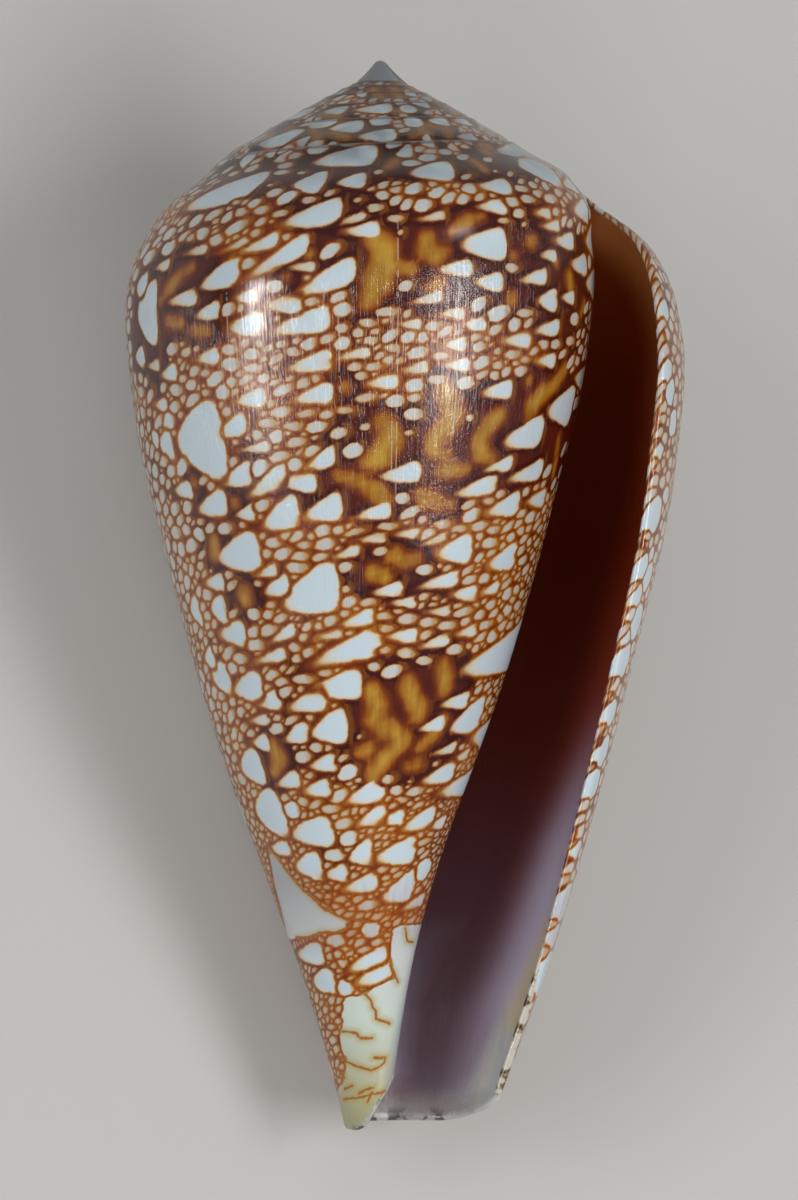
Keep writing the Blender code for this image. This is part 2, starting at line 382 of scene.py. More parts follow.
# The turn before, as it shows inside the aperture
hollow_columns = np.concatenate((
    np.arange(HOLLOW_FIRST_COLUMN, HOLLOW_FINE_FROM, HOLLOW_COARSE_STEP),
    np.arange(HOLLOW_FINE_FROM, COLUMNS_PER_TURN + 1),
))
hollow_angles = first_angles[hollow_columns]
below_suture = smooth_step(0.0, HOLLOW_OPENS_OVER, LIP_AT_SUTURE - hollow_angles)
below_suture = HOLLOW_STARTS_BELOW_SUTURE * below_suture
columns = [body_column(angle - 360.0, below) for angle, below in zip(hollow_angles, below_suture)]
radius, distance, way = np.stack(columns, axis=-1)
before_points = turn_point(hollow_angles - 360.0, radius, distance)
depth = np.maximum(np.radians(GLAZE_STARTS_AT - (hollow_angles - 360.0)) * radius, OUTSIDE)
sheets.append(make_sheet("turn_before", before_points, hollow_angles - 360.0, way, depth, 1))

# The inner face of the last turn
rows = SUTURE_ROWS + RAMP_ROWS + BODY_ROWS
columns = []
for angle, below in zip(hollow_angles, below_suture):
    columns.append(evenly_down(angle, suture_distance(angle) + below, base_distance(angle), rows)[0])
distance = np.stack(columns, axis=-1)
inner_angles = hollow_angles + lip_shift(hollow_angles, distance)
radius = inner_radius(inner_angles, distance)
radius[0] = wall_radius(hollow_angles - 360.0, distance[0])
inner_points = turn_point(inner_angles, radius, distance)
depth = np.maximum(depth_inside(inner_angles, distance, radius), 0.0)
sheets.append(make_sheet("inner_face", inner_points, inner_angles, distance, depth))


def rounded_edge(outer, inner, away):
    """Rows of points from one edge of the wall to the other, rounded outwards."""
    rounds = np.radians(np.linspace(0.0, 180.0, EDGE_ROWS + 1))[:, None, None]
    middle, half = (outer + inner) / 2.0, (outer - inner) / 2.0
    across = np.linalg.norm(half, axis=-1, keepdims=True)
    return middle + half * np.cos(rounds) + away * BULGE * across * np.sin(rounds)


# The lip's edge, with the pattern up to the inside
outer, inner = last_points[:, -1], inner_points[:, -1]
turn = np.radians(last_angles[:, -1])
round_edge = np.linspace(0.0, LIP_ROUND, EDGE_ROWS + 1)
lip_angles = last_angles[:, -1:] + np.degrees(round_edge / last_radius[:, -1:])
forward = np.stack((-np.sin(turn), 0.0 * turn, np.cos(turn)), axis=-1)
lip_points = rounded_edge(outer, inner, forward).transpose(1, 0, 2)
sheets.append(make_sheet("lip", lip_points, lip_angles, last_way[:, -1:], round_edge - LIP_ROUND, 1))

# The base's edge
BASE_EDGE_DEPTH = 0.3
BASE_WAY = 60.0
outer = last_points[-1, HOLLOW_FIRST_COLUMN:]
along = np.arange(HOLLOW_FIRST_COLUMN, COLUMNS_PER_TURN + 1)
inner = [np.interp(along, hollow_columns, inner_points[-1, :, axis]) for axis in range(3)]
base_points = rounded_edge(outer, np.stack(inner, axis=-1), np.array((0.0, -1.0, 0.0)))
base_angles = last_angles[-1, HOLLOW_FIRST_COLUMN:]
sheets.append(make_sheet("base", base_points, base_angles, BASE_WAY, BASE_EDGE_DEPTH))

# The blunt end of the axis, which closes the base
AXIS_END_DEPTH = 3.0
end_row = np.concatenate((before_points[-1], last_points[-1, 1:HOLLOW_FIRST_COLUMN + 1]))
end_points = np.stack((end_row, np.tile((0.0, -BASE_MIDDLE, 0.0), (len(end_row), 1))))
sheets.append(make_sheet("axis_end", end_points, 0.0, BASE_WAY, AXIS_END_DEPTH))

# All sheets are joined into one closed wall
MERGE_DISTANCE = 2e-6
for sheet in sheets:
    sheet.select_set(True)
bpy.context.view_layer.objects.active = sheets[0]
bpy.ops.object.join()
shell = bpy.context.object
shell.name = "cone_shell"
shell.data.name = "cone_shell"
bpy.ops.object.mode_set(mode="EDIT")
bpy.ops.mesh.select_all(action="SELECT")
bpy.ops.mesh.remove_doubles(threshold=MERGE_DISTANCE)
bpy.ops.mesh.fill_holes(sides=0)
bpy.ops.mesh.select_all(action="SELECT")
bpy.ops.mesh.normals_make_consistent(inside=False)
bpy.ops.object.mode_set(mode="OBJECT")
bpy.ops.object.shade_smooth()

# Laid on its back: turned, centred over the origin, and worn flat where it touches the floor
turned = Matrix.Rotation(math.radians(REST_PITCH), 4, "X")
turned = turned @ Matrix.Rotation(math.radians(REST_ROLL), 4, "Y")
corners = np.empty(3 * len(shell.data.vertices), np.float32)
shell.data.transform(turned)
shell.data.vertices.foreach_get("co", corners)
corners = corners.reshape(-1, 3)
middle = (corners.min(axis=0) + corners.max(axis=0)) / 2.0
laid = Matrix.Translation((-middle[0], -middle[1], -corners[:, 2].min() - WORN_DEPTH * MM))
shell.data.transform(laid)
for vertex in shell.data.vertices:
    vertex.co.z = max(vertex.co.z, 0.0)
rest = laid @ turned
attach(shell, "root")
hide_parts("shell")

# Pattern of the shell
# The animal laid the pigment down at the lip while the wall grew, so the white tents point along the turn
# and have a straight side where growth paused. Each small face of the mesh stores the tents nearest to it,
# and the material works out from them how far a point is from a tent's edge.

TENTS_PER_FACE = 8

# Distances in millimetres that stand for no tent, and for no flame or bare part nearby
FAR = 99.0
NOT_NEAR = 9.0

# How round a tent's point and corners are, and how much of its height they take
ROUND_POINT = 0.75
ROUND_CORNERS = 1.2
CORNER_CUT = (0.56, 0.19)

# The longest a tent is for its height, and how much of one at the lip lies before it
LONGEST = 2.2
LONGEST_AT_LIP = 1.0
SHARE_BEFORE_LIP = 0.3

# A tent's code is ten times its kind, plus its lean in tenths, plus its sides' slope or how round it is
TENT, OVAL, BARE = 0, 1, 2

# The photograph: millimetres per pixel, where the axis and the apex are, and how far away the camera stands
PHOTO_SCALE = 60.0 / 1068.0
PHOTO_AXIS = 380.0
PHOTO_APEX = 61.0
CAMERA_SIDE = 1.07
CAMERA_DOWN = 30.3
CAMERA_HEIGHT = 433.0
PAST_LIP = 6.0

# A point is found by small steps, each of which goes this share of the way
SOLVER_STEPS = 14
SOLVER_SHARE = 0.6

# Limits for a listed tent: the shortest, from where on it has a point, how much it can lean,
# how much of its height its lean takes and leaves, how round or how sloped it can be
SHORTEST = 0.2
ROUND_BELOW_LENGTH = 1.3
MOST_LEAN = 0.9
LEAN_TAKES = 0.6
LEAN_LEAVES = 0.4
LEAST_ROUND = 0.3
MOST_ROUND = 0.95
SIDE_SLOPES = (0.1, 0.85)
SLOPES_TRIED = 60

# The larger tents, listed where the photograph shows them: left, top, right and bottom in its
# pixels, and lean in tenths. A lean of -1 marks a round one that the lip cuts off
LARGE_TENTS = (
    (338, 174, 367, 190, 1), (285, 200, 344, 236, 3), (345, 223, 381, 239, 0), (337, 213, 367, 226, 3),
    (366, 204, 384, 213, 1), (376, 191, 390, 200, 0), (273, 209, 288, 218, 2), (255, 206, 268, 215, 2),
    (302, 197, 316, 204, 0), (209, 234, 224, 246, 2), (189, 245, 209, 257, 2), (157, 260, 170, 273, 3),
    (227, 238, 249, 252, 4), (243, 234, 280, 257, 4), (245, 240, 310, 283, 6), (202, 259, 240, 296, 4),
    (320, 242, 341, 261, 4), (291, 262, 317, 274, 1), (300, 260, 358, 300, 4), (388, 216, 407, 223, 0),
    (170, 290, 198, 311, 3), (197, 302, 221, 324, 3), (230, 311, 266, 341, 2), (237, 289, 259, 306, 1),
    (267, 295, 304, 315, 0), (274, 307, 333, 343, 3), (138, 282, 157, 346, 0), (197, 349, 220, 367, 2),
    (290, 351, 334, 376, 2), (221, 345, 238, 356, 1), (222, 357, 241, 372, 1), (162, 364, 178, 383, 2),
    (170, 384, 183, 397, 1), (156, 398, 168, 413, 2), (163, 411, 175, 431, 3), (178, 403, 225, 480, 0),
    (237, 388, 267, 411, 2), (272, 382, 294, 399, 4), (295, 384, 335, 408, 2), (271, 405, 291, 418, 2),
    (217, 414, 248, 443, 4), (258, 418, 278, 429, 1), (284, 422, 302, 431, 0), (297, 410, 316, 418, 1),
    (330, 427, 348, 440, 2), (307, 447, 337, 475, 5), (243, 441, 271, 456, 2), (270, 451, 290, 464, 2),
    (286, 437, 306, 448, 2), (160, 429, 173, 461, 2), (224, 462, 254, 492, 4), (250, 465, 289, 501, 6),
    (283, 472, 318, 493, 0), (175, 481, 193, 500, 0), (198, 490, 229, 522, 3), (263, 495, 300, 538, 5),
    (236, 505, 256, 523, 2), (305, 494, 344, 527, 3), (367, 375, 400, 391, 1), (341, 347, 371, 362, 2),
    (359, 319, 380, 327, 0), (363, 336, 378, 346, 1), (376, 307, 401, 317, 0), (365, 362, 382, 372, 1),
    (348, 363, 362, 372, 1), (334, 336, 350, 351, 1), (337, 407, 356, 414, 0), (355, 394, 376, 403, 1),
    (137, 273, 147, 302, 2), (136, 346, 145, 369, 1), (149, 360, 161, 371, 1), (152, 430, 159, 449, 1),
    (403, 183, 424, 196, 2), (421, 212, 446, 224, 2), (410, 162, 456, 184, 2), (294, 173, 325, 195, 2),
    (195, 178, 252, 218, 6), (267, 189, 281, 198, 2), (231, 198, 241, 206, 2), (462, 183, 478, 195, 2),
    (480, 179, 512, 196, 1), (478, 200, 508, 216, 1), (498, 218, 510, 224, 0), (461, 228, 508, 263, 1),
    (439, 261, 475, 278, 0), (475, 273, 504, 293, 1), (409, 292, 444, 309, 3), (497, 145, 530, 160, 0),
    (526, 157, 554, 187, 0), (521, 195, 536, 204, 1), (536, 208, 551, 219, 1), (513, 208, 525, 219, 1),
    (544, 220, 563, 233, 1), (555, 233, 575, 251, 1), (571, 255, 588, 276, 0), (541, 250, 558, 262, 0),
    (522, 269, 548, 288, 2), (506, 263, 518, 273, 1), (538, 290, 558, 312, 0), (562, 291, 575, 306, 1),
    (517, 308, 533, 318, 1), (536, 320, 560, 339, 2), (504, 332, 532, 350, 1), (538, 340, 549, 350, 1),
    (550, 340, 560, 350, 0), (538, 354, 556, 369, 1), (570, 313, 579, 326, 0), (566, 337, 575, 346, 0),
    (505, 350, 520, 360, 1), (521, 356, 531, 363, 1), (484, 380, 513, 403, 2), (575, 366, 588, 392, 2),
    (549, 386, 573, 429, 3), (505, 416, 543, 456, 4), (511, 460, 542, 489, 5), (485, 457, 513, 476, 3),
    (457, 476, 497, 502, 3), (382, 463, 422, 486, 1), (489, 493, 520, 521, 3), (528, 490, 545, 511, 4),
    (463, 507, 480, 524, 3), (548, 484, 563, 514, 5), (399, 319, 425, 330, 0), (441, 308, 466, 321, 1),
    (465, 317, 487, 334, 1), (444, 338, 468, 351, 0), (444, 358, 471, 373, 1), (433, 352, 455, 360, 0),
    (383, 345, 403, 353, 0), (405, 362, 429, 375, 1), (429, 375, 448, 385, 1), (405, 409, 423, 421, 0),
    (408, 394, 420, 403, 0), (358, 503, 392, 524, 2), (568, 430, 575, 444, 1), (490, 371, 499, 380, 0),
    (574, 200, 589, 223, 0), (564, 180, 577, 193, 0), (586, 223, 594, 260, 0), (586, 268, 595, 300, 0),
    (218, 532, 262, 577, 2), (265, 538, 282, 549, 1), (273, 547, 293, 562, 3), (291, 551, 309, 563, 2),
    (298, 541, 312, 549, 1), (313, 553, 329, 563, 1), (335, 545, 361, 561, 3), (361, 533, 387, 545, 1),
    (373, 547, 388, 556, 1), (344, 528, 368, 537, 2), (378, 522, 400, 531, 1), (396, 529, 421, 541, 1),
    (421, 535, 449, 547, 3), (438, 535, 473, 567, 2), (490, 544, 516, 576, 4), (433, 520, 450, 530, 1),
    (452, 525, 468, 533, 1), (471, 521, 488, 532, 2), (487, 525, 500, 534, 1), (421, 572, 460, 594, 3),
    (453, 586, 478, 603, 1), (483, 580, 500, 598, 5), (416, 564, 433, 576, 0), (375, 582, 404, 599, 1),
    (264, 575, 291, 601, 4), (257, 564, 278, 580, 3), (206, 574, 225, 592, 1), (211, 595, 227, 624, 0),
    (191, 596, 201, 628, 1), (247, 608, 261, 621, 0), (283, 562, 341, 624, 4), (343, 609, 375, 631, 3),
    (360, 598, 377, 607, 1), (392, 597, 417, 610, 1), (376, 613, 392, 620, 0), (374, 625, 393, 634, 1),
    (397, 614, 417, 624, 0), (420, 617, 437, 627, 1), (430, 606, 452, 617, 1), (454, 607, 472, 618, 2),
    (438, 621, 458, 630, 0), (458, 625, 478, 639, 2), (478, 619, 493, 631, 3), (388, 629, 421, 643, 0),
    (421, 635, 450, 652, 3), (447, 644, 463, 655, 1), (398, 647, 416, 659, 1), (416, 656, 432, 666, 1),
    (381, 664, 402, 680, 2), (376, 647, 391, 654, 0), (316, 631, 384, 670, 3), (314, 672, 364, 702, 1),
    (289, 689, 329, 718, 3), (311, 709, 349, 749, 3), (234, 671, 264, 705, 2), (259, 691, 282, 713, 2),
    (257, 649, 288, 667, 3), (272, 624, 297, 645, 5), (221, 621, 247, 648, 1), (246, 638, 264, 652, 1),
    (233, 653, 247, 665, 1), (320, 629, 344, 642, 2), (293, 674, 314, 685, 1), (205, 647, 215, 671, 1),
    (213, 661, 230, 695, 1), (464, 623, 511, 691, 8), (443, 693, 469, 712, 2), (453, 698, 481, 740, 6),
    (421, 716, 445, 736, 3), (435, 744, 456, 757, 3), (424, 762, 454, 789, 4), (253, 734, 270, 752, 1),
    (241, 749, 263, 786, 0), (285, 723, 310, 748, 4), (268, 722, 284, 736, 2), (252, 715, 271, 727, 0),
    (277, 771, 302, 792, 3), (295, 750, 312, 764, 2), (311, 754, 338, 775, 2), (305, 779, 332, 800, 2),
    (337, 764, 358, 783, 3), (330, 788, 349, 804, 3), (347, 780, 386, 809, 3), (377, 775, 393, 787, 2),
    (390, 785, 403, 796, 1), (406, 786, 424, 797, 2), (256, 789, 284, 837, 0), (284, 801, 300, 819, 1),
    (290, 818, 335, 848, 0), (322, 804, 340, 814, 1), (334, 818, 353, 830, 2), (358, 807, 387, 830, 3),
    (382, 810, 405, 828, 2), (404, 808, 434, 835, 4), (431, 817, 445, 830, 2), (440, 772, 464, 805, 6),
    (456, 750, 469, 762, 4), (474, 718, 488, 752, 5), (270, 841, 291, 858, 1), (376, 839, 416, 869, 2),
    (348, 840, 374, 869, 3), (382, 873, 414, 908, 4), (340, 830, 358, 847, 2), (324, 848, 345, 863, 1),
    (326, 865, 349, 883, 1), (345, 875, 378, 896, 2), (404, 896, 423, 912, 4), (416, 838, 435, 846, 2),
    (416, 857, 430, 883, 3), (296, 852, 323, 881, 0), (297, 943, 325, 967, 1), (313, 968, 336, 996, 1),
    (348, 949, 387, 975, 3), (357, 964, 392, 990, 3), (326, 934, 346, 948, 1), (336, 979, 354, 998, 1),
    (356, 900, 378, 912, 1), (361, 921, 380, 938, 1), (262, 131, 290, 154, 5), (220, 152, 231, 165, 2),
    (308, 143, 329, 155, 2), (316, 146, 379, 170, 2), (359, 130, 398, 144, 1), (356, 105, 393, 114, 0),
    (326, 107, 347, 115, 1), (291, 109, 323, 119, 2), (400, 105, 416, 114, 0), (302, 117, 338, 130, 2),
    (330, 122, 364, 133, 0), (370, 116, 392, 126, 0), (402, 117, 423, 128, 0), (429, 117, 448, 126, 0),
    (454, 117, 468, 126, 0), (458, 134, 479, 142, 0),
    (647, 257, 656, 269, -1), (656, 272, 663, 284, -1), (658, 299, 670, 321, -1),
    (670, 318, 678, 333, -1), (659, 354, 672, 387, -1), (668, 379, 680, 407, -1),
    (658, 398, 667, 415, -1), (653, 419, 659, 446, -1), (671, 409, 681, 438, -1),
    (657, 442, 667, 460, -1), (649, 495, 665, 534, -1), (643, 528, 651, 542, -1),
    (638, 539, 644, 551, -1), (650, 537, 657, 549, -1), (630, 546, 647, 588, -1),
    (650, 547, 657, 564, -1), (646, 561, 656, 590, -1), (634, 584, 648, 608, -1),
    (623, 605, 636, 624, -1), (634, 603, 646, 638, -1), (618, 630, 631, 649, -1),
    (620, 642, 635, 678, -1), (612, 677, 621, 692, -1), (622, 677, 630, 698, -1),
    (608, 695, 613, 703, -1), (602, 699, 619, 727, -1), (598, 727, 604, 736, -1),
    (604, 727, 610, 737, -1), (595, 737, 603, 750, -1), (601, 735, 612, 764, -1),
    (582, 762, 598, 806, -1), (573, 825, 585, 839, -1), (570, 840, 584, 859, -1),
    (554, 884, 571, 918, -1), (545, 925, 555, 950, -1), (531, 955, 545, 992, -1),
    (507, 1032, 520, 1061, -1),
)

# Ochre flames in the dark bands: points across and down, and half the width
FLAMES = (
    ((372, 238, 10), (386, 250, 12), (384, 266, 13), (377, 282, 14), (370, 297, 10), (364, 306, 5)),
    ((394, 266, 8), (410, 268, 6)),
    ((426, 240, 8), (427, 251, 9), (435, 257, 8), (445, 252, 5)),
    ((452, 230, 4), (467, 222, 6), (480, 217, 4)),
    ((440, 284, 6), (430, 288, 5)),
    ((531, 242, 8),),
    ((513, 256, 4),),
    ((551, 255, 3), (556, 262, 4)),
    ((569, 276, 6), (571, 287, 8)),
    ((512, 299, 7),),
    ((584, 305, 4), (581, 314, 4)),
    ((192, 268, 4), (179, 277, 6), (168, 290, 6), (161, 301, 4)),
    ((168, 322, 5), (181, 323, 6)),
    ((194, 332, 5), (206, 332, 5)),
    ((309, 255, 4),),
    ((286, 278, 3),),
    ((345, 387, 6),),
    ((564, 370, 7), (557, 384, 7), (543, 392, 8), (531, 407, 8), (529, 416, 6)),
    ((529, 381, 5),),
    ((500, 416, 8), (490, 425, 9), (481, 440, 9), (483, 453, 10), (492, 460, 6)),
    ((444, 386, 9), (448, 399, 11), (452, 416, 12),
     (446, 428, 11), (434, 440, 9), (435, 451, 8), (446, 456, 5)),
    ((442, 471, 7), (452, 470, 8), (463, 470, 6)),
    ((420, 494, 6), (437, 501, 6), (452, 505, 4)),
    ((383, 422, 9), (389, 432, 10), (390, 443, 12), (380, 457, 12), (367, 464, 7)),
    ((339, 477, 5), (351, 479, 6), (365, 484, 7), (377, 492, 9), (385, 504, 7)),
    ((559, 436, 4), (557, 450, 5), (555, 463, 5), (553, 476, 4)),
    ((235, 503, 4),),
    ((194, 484, 4),),
    ((214, 541, 6), (215, 554, 8)),
    ((245, 592, 8), (245, 600, 8)),
    ((373, 573, 8), (385, 578, 6)),
    ((395, 555, 7), (404, 562, 7), (415, 559, 6)),
    ((424, 505, 5), (440, 508, 5)),
    ((443, 668, 8), (445, 677, 9), (445, 688, 8)),
    ((408, 681, 7), (410, 692, 9), (414, 702, 8), (420, 708, 7), (417, 718, 6)),
    ((371, 690, 8), (378, 705, 10), (374, 719, 9), (385, 729, 9), (396, 735, 8),
     (404, 740, 8), (396, 749, 8), (383, 761, 8), (375, 773, 7), (371, 783, 4)),
    ((360, 752, 6), (369, 750, 6)),
    ((445, 720, 6), (433, 735, 7), (420, 748, 6)),
    ((419, 764, 6), (408, 766, 5)),
    ((273, 744, 6), (279, 758, 7), (274, 772, 5)),
    ((318, 138, 4),),
    ((343, 137, 4), (349, 139, 3)),
    ((446, 128, 3), (450, 138, 3)),
    ((395, 162, 4), (388, 168, 3)),
    ((475, 162, 4), (484, 170, 4)),
)

FLAMES_MERGE = 0.4
FLAMES_WIDENED = 0.95

# Dark parts of the bands in the photograph: middle across, middle down, reach across and reach down
DARK_PATCHES = (
    (430, 262, 100, 42), (345, 215, 60, 22), (505, 265, 60, 50), (185, 292, 42, 42), (560, 290, 30, 60),
    (255, 183, 42, 14), (350, 178, 60, 10), (490, 170, 50, 14), (420, 445, 95, 42), (350, 492, 60, 22),
    (505, 430, 50, 50), (555, 420, 22, 60), (390, 575, 45, 24), (245, 600, 20, 14), (215, 545, 16, 18),
    (405, 715, 58, 58), (275, 765, 22, 24), (440, 680, 30, 40), (150, 330, 20, 60),
)

# Bare enamel at the base, and thin brown lines on it
BARE_PARTS = (
    ((268, 846), (283, 866), (302, 890), (325, 909), (345, 919), (350, 925), (336, 932),
     (322, 933), (310, 937), (296, 938), (288, 941), (283, 915), (275, 885)),
    ((440, 923), (418, 987), (410, 1035), (402, 1080), (388, 1115), (372, 1140), (345, 1142), (325, 1130),
     (328, 1105), (341, 1085), (345, 1075), (347, 1060), (342, 1050), (340, 1037), (342, 1030), (342, 1003),
     (347, 996), (366, 995), (373, 989), (388, 978), (397, 980), (391, 965), (392, 930), (400, 926)),
)
BROWN_LINES = (
    ((269, 848), (283, 866), (302, 890), (325, 910), (346, 919), (370, 922)),
    ((297, 938), (310, 937), (322, 933), (336, 932), (347, 928)),
    ((390, 966), (394, 974), (398, 983)),
    ((366, 995), (371, 1001), (372, 1008), (376, 1011), (376, 1018), (383, 1021), (390, 1024)),
    ((342, 1032), (350, 1033), (357, 1034), (360, 1038), (366, 1039), (372, 1038)),
    ((340, 1057), (347, 1062), (358, 1067), (370, 1071),
     (379, 1067), (384, 1063), (386, 1057), (374, 1058)),
    ((337, 1068), (345, 1078)),
    ((345, 1089), (352, 1086)),
    ((358, 1093), (365, 1090), (373, 1089)),
    ((367, 1102), (372, 1093)),
    ((338, 1096), (343, 1100)),
    ((405, 929), (407, 941), (413, 943)),
)


def seen_at(pixel_x, pixel_y, turns=range(1, -EARLY_TURNS, -1)):
    """Turn angle, distance from the apex and radius of the outer face that shows at a pixel."""
    side = (pixel_x - PHOTO_AXIS) * PHOTO_SCALE
    down = (pixel_y - PHOTO_APEX) * PHOTO_SCALE
    for turn in turns:
        height = 0.0
        for _ in range(SOLVER_STEPS):
            nearer = 1.0 - height / CAMERA_HEIGHT
            x = CAMERA_SIDE + (side - CAMERA_SIDE) * nearer
            distance = CAMERA_DOWN + (down - CAMERA_DOWN) * nearer
            angle = math.degrees(math.atan2(height, x)) + 360.0 * turn
            radius = float(wall_radius(angle, distance))
            height += SOLVER_SHARE * (math.sqrt(max(radius ** 2 - x ** 2, 1e-4)) - height)
        before_lip = angle <= lip_angle_at(distance) + PAST_LIP
        if suture_distance(angle) <= distance and before_lip and abs(x) <= radius + PHOTO_SCALE:
            return angle, distance, radius
    return angle, distance, radius


def way_down(angle, distance):
    """Way down the wall from the suture to a distance from the apex."""
    column = angle
    for _ in range(SOLVER_STEPS):
        column = angle - lip_shift(column, distance)
    edge = suture_distance(column) + SUTURE_ROUNDING * growth(column)
    return evenly_down(column, edge, distance, 1)[1][-1] * np.sign(distance - edge)


def tent_in(left, top, right, bottom, lean):
    """The tent that fills a box of the photograph: turn in radians, way down, size and code."""
    across, down = (left + right) / 2.0, (top + bottom) / 2.0
    angle, distance, radius = seen_at(across, down)
    turns = (int(angle // 360.0),)
    from_angle, to_angle = seen_at(right, down, turns)[0], seen_at(left, down, turns)[0]
    start, end = (way_down(*seen_at(across, edge, turns)[:2]) for edge in (top, bottom))
    at_lip = lean < 0
    if at_lip:
        to_angle = min(to_angle, lip_angle_at(distance))
    longest = (LONGEST_AT_LIP if at_lip else LONGEST) * (end - start)
    length = min(max(math.radians(to_angle - from_angle) * radius, SHORTEST), longest)
    leaned = max(lean, 0.0) / 10.0 * (right - left) * PHOTO_SCALE
    lean = min(leaned / length, MOST_LEAN)
    height = max(end - start - LEAN_TAKES * leaned, LEAN_LEAVES * (end - start))
    if at_lip or length < ROUND_BELOW_LENGTH:
        roundness = min(max(height / length, LEAST_ROUND), MOST_ROUND)
        size = math.sqrt(length * height * roundness) / 2.0
        turn = math.radians(to_angle) - (SHARE_BEFORE_LIP if at_lip else 0.5) * length / radius
        return turn, (start + end) / 2.0, size, tent_code(OVAL, lean, roundness)
    slopes = np.linspace(*SIDE_SLOPES, SLOPES_TRIED)
    sides = np.sqrt(1.0 - slopes ** 2)
    lengths = 1.0 + (1.0 - ROUND_POINT * sides) / slopes
    heights = 2.0 * (CORNER_CUT[0] + CORNER_CUT[1] * slopes) * (1.0 + slopes) / sides
    best = np.argmin(np.abs(heights / lengths - height / length))
    size = math.sqrt(length / lengths[best] * height / heights[best])
    middle = (start + end) / 2.0 - lean * (length / 2.0 - size)
    turn = math.radians(to_angle) - (length - size) / radius
    return turn, middle, size, tent_code(TENT, lean, slopes[best])


def tent_code(kind, lean, shape):
    """One number for a tent's kind, lean and shape."""
    return 10.0 * kind + math.floor(min(max(10.0 * lean, 0.0), 9.0)) + shape


def tent_gap(turn, way, radius, tents):
    """How far points are outside tents, along the wall. Inside it is negative."""
    along = (turn - tents[..., 0]) * radius
    size, code = tents[..., 2], tents[..., 3]
    lean, shape = np.floor(code % 10.0) / 10.0, code % 1.0
    off_middle = way - tents[..., 1] - lean * along
    across = np.hypot(off_middle, ROUND_POINT * size)
    behind = -along - size
    beside = shape * along + np.sqrt(1.0 - shape ** 2) * across - size
    near = np.maximum(1.0 - np.abs(behind - beside) / (ROUND_CORNERS * size), 0.0)
    gap = np.maximum(behind, beside) + near ** 3 * ROUND_CORNERS * size / 6.0
    return np.where(code < 10.0 * OVAL, gap, np.hypot(along * shape, off_middle) - size)


def read(layer, width, name="vector"):
    """Values of a mesh layer, a row for each item."""
    values = np.empty(width * len(layer), np.float32)
    layer.foreach_get(name, values)
    return values.reshape(-1, width)


# Where each corner and each face is
PATTERN_ENDS_INSIDE = 2.0
REACH_PER_SIZE = 2.6
REACH_BEYOND = 0.9
mesh = shell.data
faces = len(mesh.polygons)
corners = read(mesh.loops, 1, "vertex_index").astype(int)[:, 0]
starts = read(mesh.polygons, 1, "loop_start").astype(int)[:, 0]
face_sizes = read(mesh.polygons, 1, "loop_total")
shell_from_rest = np.array(rest.inverted())
vertex_points = (read(mesh.vertices, 3, "co") @ shell_from_rest[:3, :3].T + shell_from_rest[:3, 3]) / MM
vertex_places = read(mesh.attributes["place"].data, 3)
loop_growth = read(mesh.uv_layers["growth"].uv, 2)
face_marks = read(mesh.attributes["patterned"].data, 1, "value")[:, 0] > 0
loop_marks = np.repeat(face_marks, face_sizes[:, 0].astype(int))
vertex_growth = np.full((len(mesh.vertices), 2), FAR)
vertex_growth[corners[loop_marks]] = loop_growth[loop_marks]


def face_means(values):
    """Mean value of each face's corners."""
    return np.add.reduceat(values, starts) / face_sizes


face_turn, face_way = face_means(loop_growth).T
face_depth, face_distance, face_radius = face_means(vertex_places[corners]).T
face_points = face_means(vertex_points[corners])
patterned = face_marks & (face_depth < PATTERN_ENDS_INSIDE)

tree = mathutils.kdtree.KDTree(faces)
for index in np.flatnonzero(patterned):
    tree.insert(face_points[index], index)
tree.balance()

tents = []
nearest = np.full((faces, TENTS_PER_FACE), -1)
gaps = np.full((faces, TENTS_PER_FACE), FAR)


def put_tent(point, tent):
    """Adds a tent at a point, and tells all faces near it."""
    reach = REACH_PER_SIZE * tent[2] + REACH_BEYOND
    found = np.array([index for _, index, _ in tree.find_range(point, reach)])
    if not len(found):
        return
    gap = tent_gap(face_turn[found], face_way[found], face_radius[found], np.array(tent))
    worst = np.argmax(gaps[found], axis=1)
    closer = gap < gaps[found, worst]
    gaps[found[closer], worst[closer]] = gap[closer]
    nearest[found[closer], worst[closer]] = len(tents)
    tents.append(tent)


for box in LARGE_TENTS:
    angle, distance, radius = seen_at((box[0] + box[2]) / 2.0, (box[1] + box[3]) / 2.0)
    put_tent(turn_point(angle, radius, distance), tent_in(*box))

# How dark the bands are. They go on round the back and up the spire
BANDS = ((11.5, 19.0), (24.5, 33.0), (43.0, 51.0))
BAND_FADE = 1.6
BAND_WAVERS = 3.0
PATCH_SIZE = 5.0
FINE_PATCH_SIZE = 1.7
FINE_PATCHES_FROM = 9.0
OTHER_PATCHES = 0.4
PATCH_EDGE = (-0.25, 0.2)
DARK_PATCH_EDGE = (0.6, 1.3)
IN_THE_PHOTO = (-35.0, -20.0, 178.0, 192.0)
LAST_ANGLE = 400.0
SPIRE_ENDS = 7.4
SPIRE_WAY = 5.0
SPIRE_DARKNESS = 0.7
SPIRE_PATCH_EDGE = (-0.05, 0.12)
noise_at = mathutils.noise.noise
fine_points = vertex_points / FINE_PATCH_SIZE + FINE_PATCHES_FROM
wander = np.array([noise_at(point) for point in map(Vector, vertex_points / PATCH_SIZE)])
fine_wander = np.array([noise_at(point) for point in map(Vector, fine_points)])
vertex_angle = np.degrees(vertex_growth[:, 0])
vertex_size = growth(np.minimum(vertex_angle, LAST_ANGLE))
own_distance = vertex_places[:, 1] / vertex_size
seen = between(IN_THE_PHOTO, (vertex_angle + 90.0) % 360.0 - 90.0)


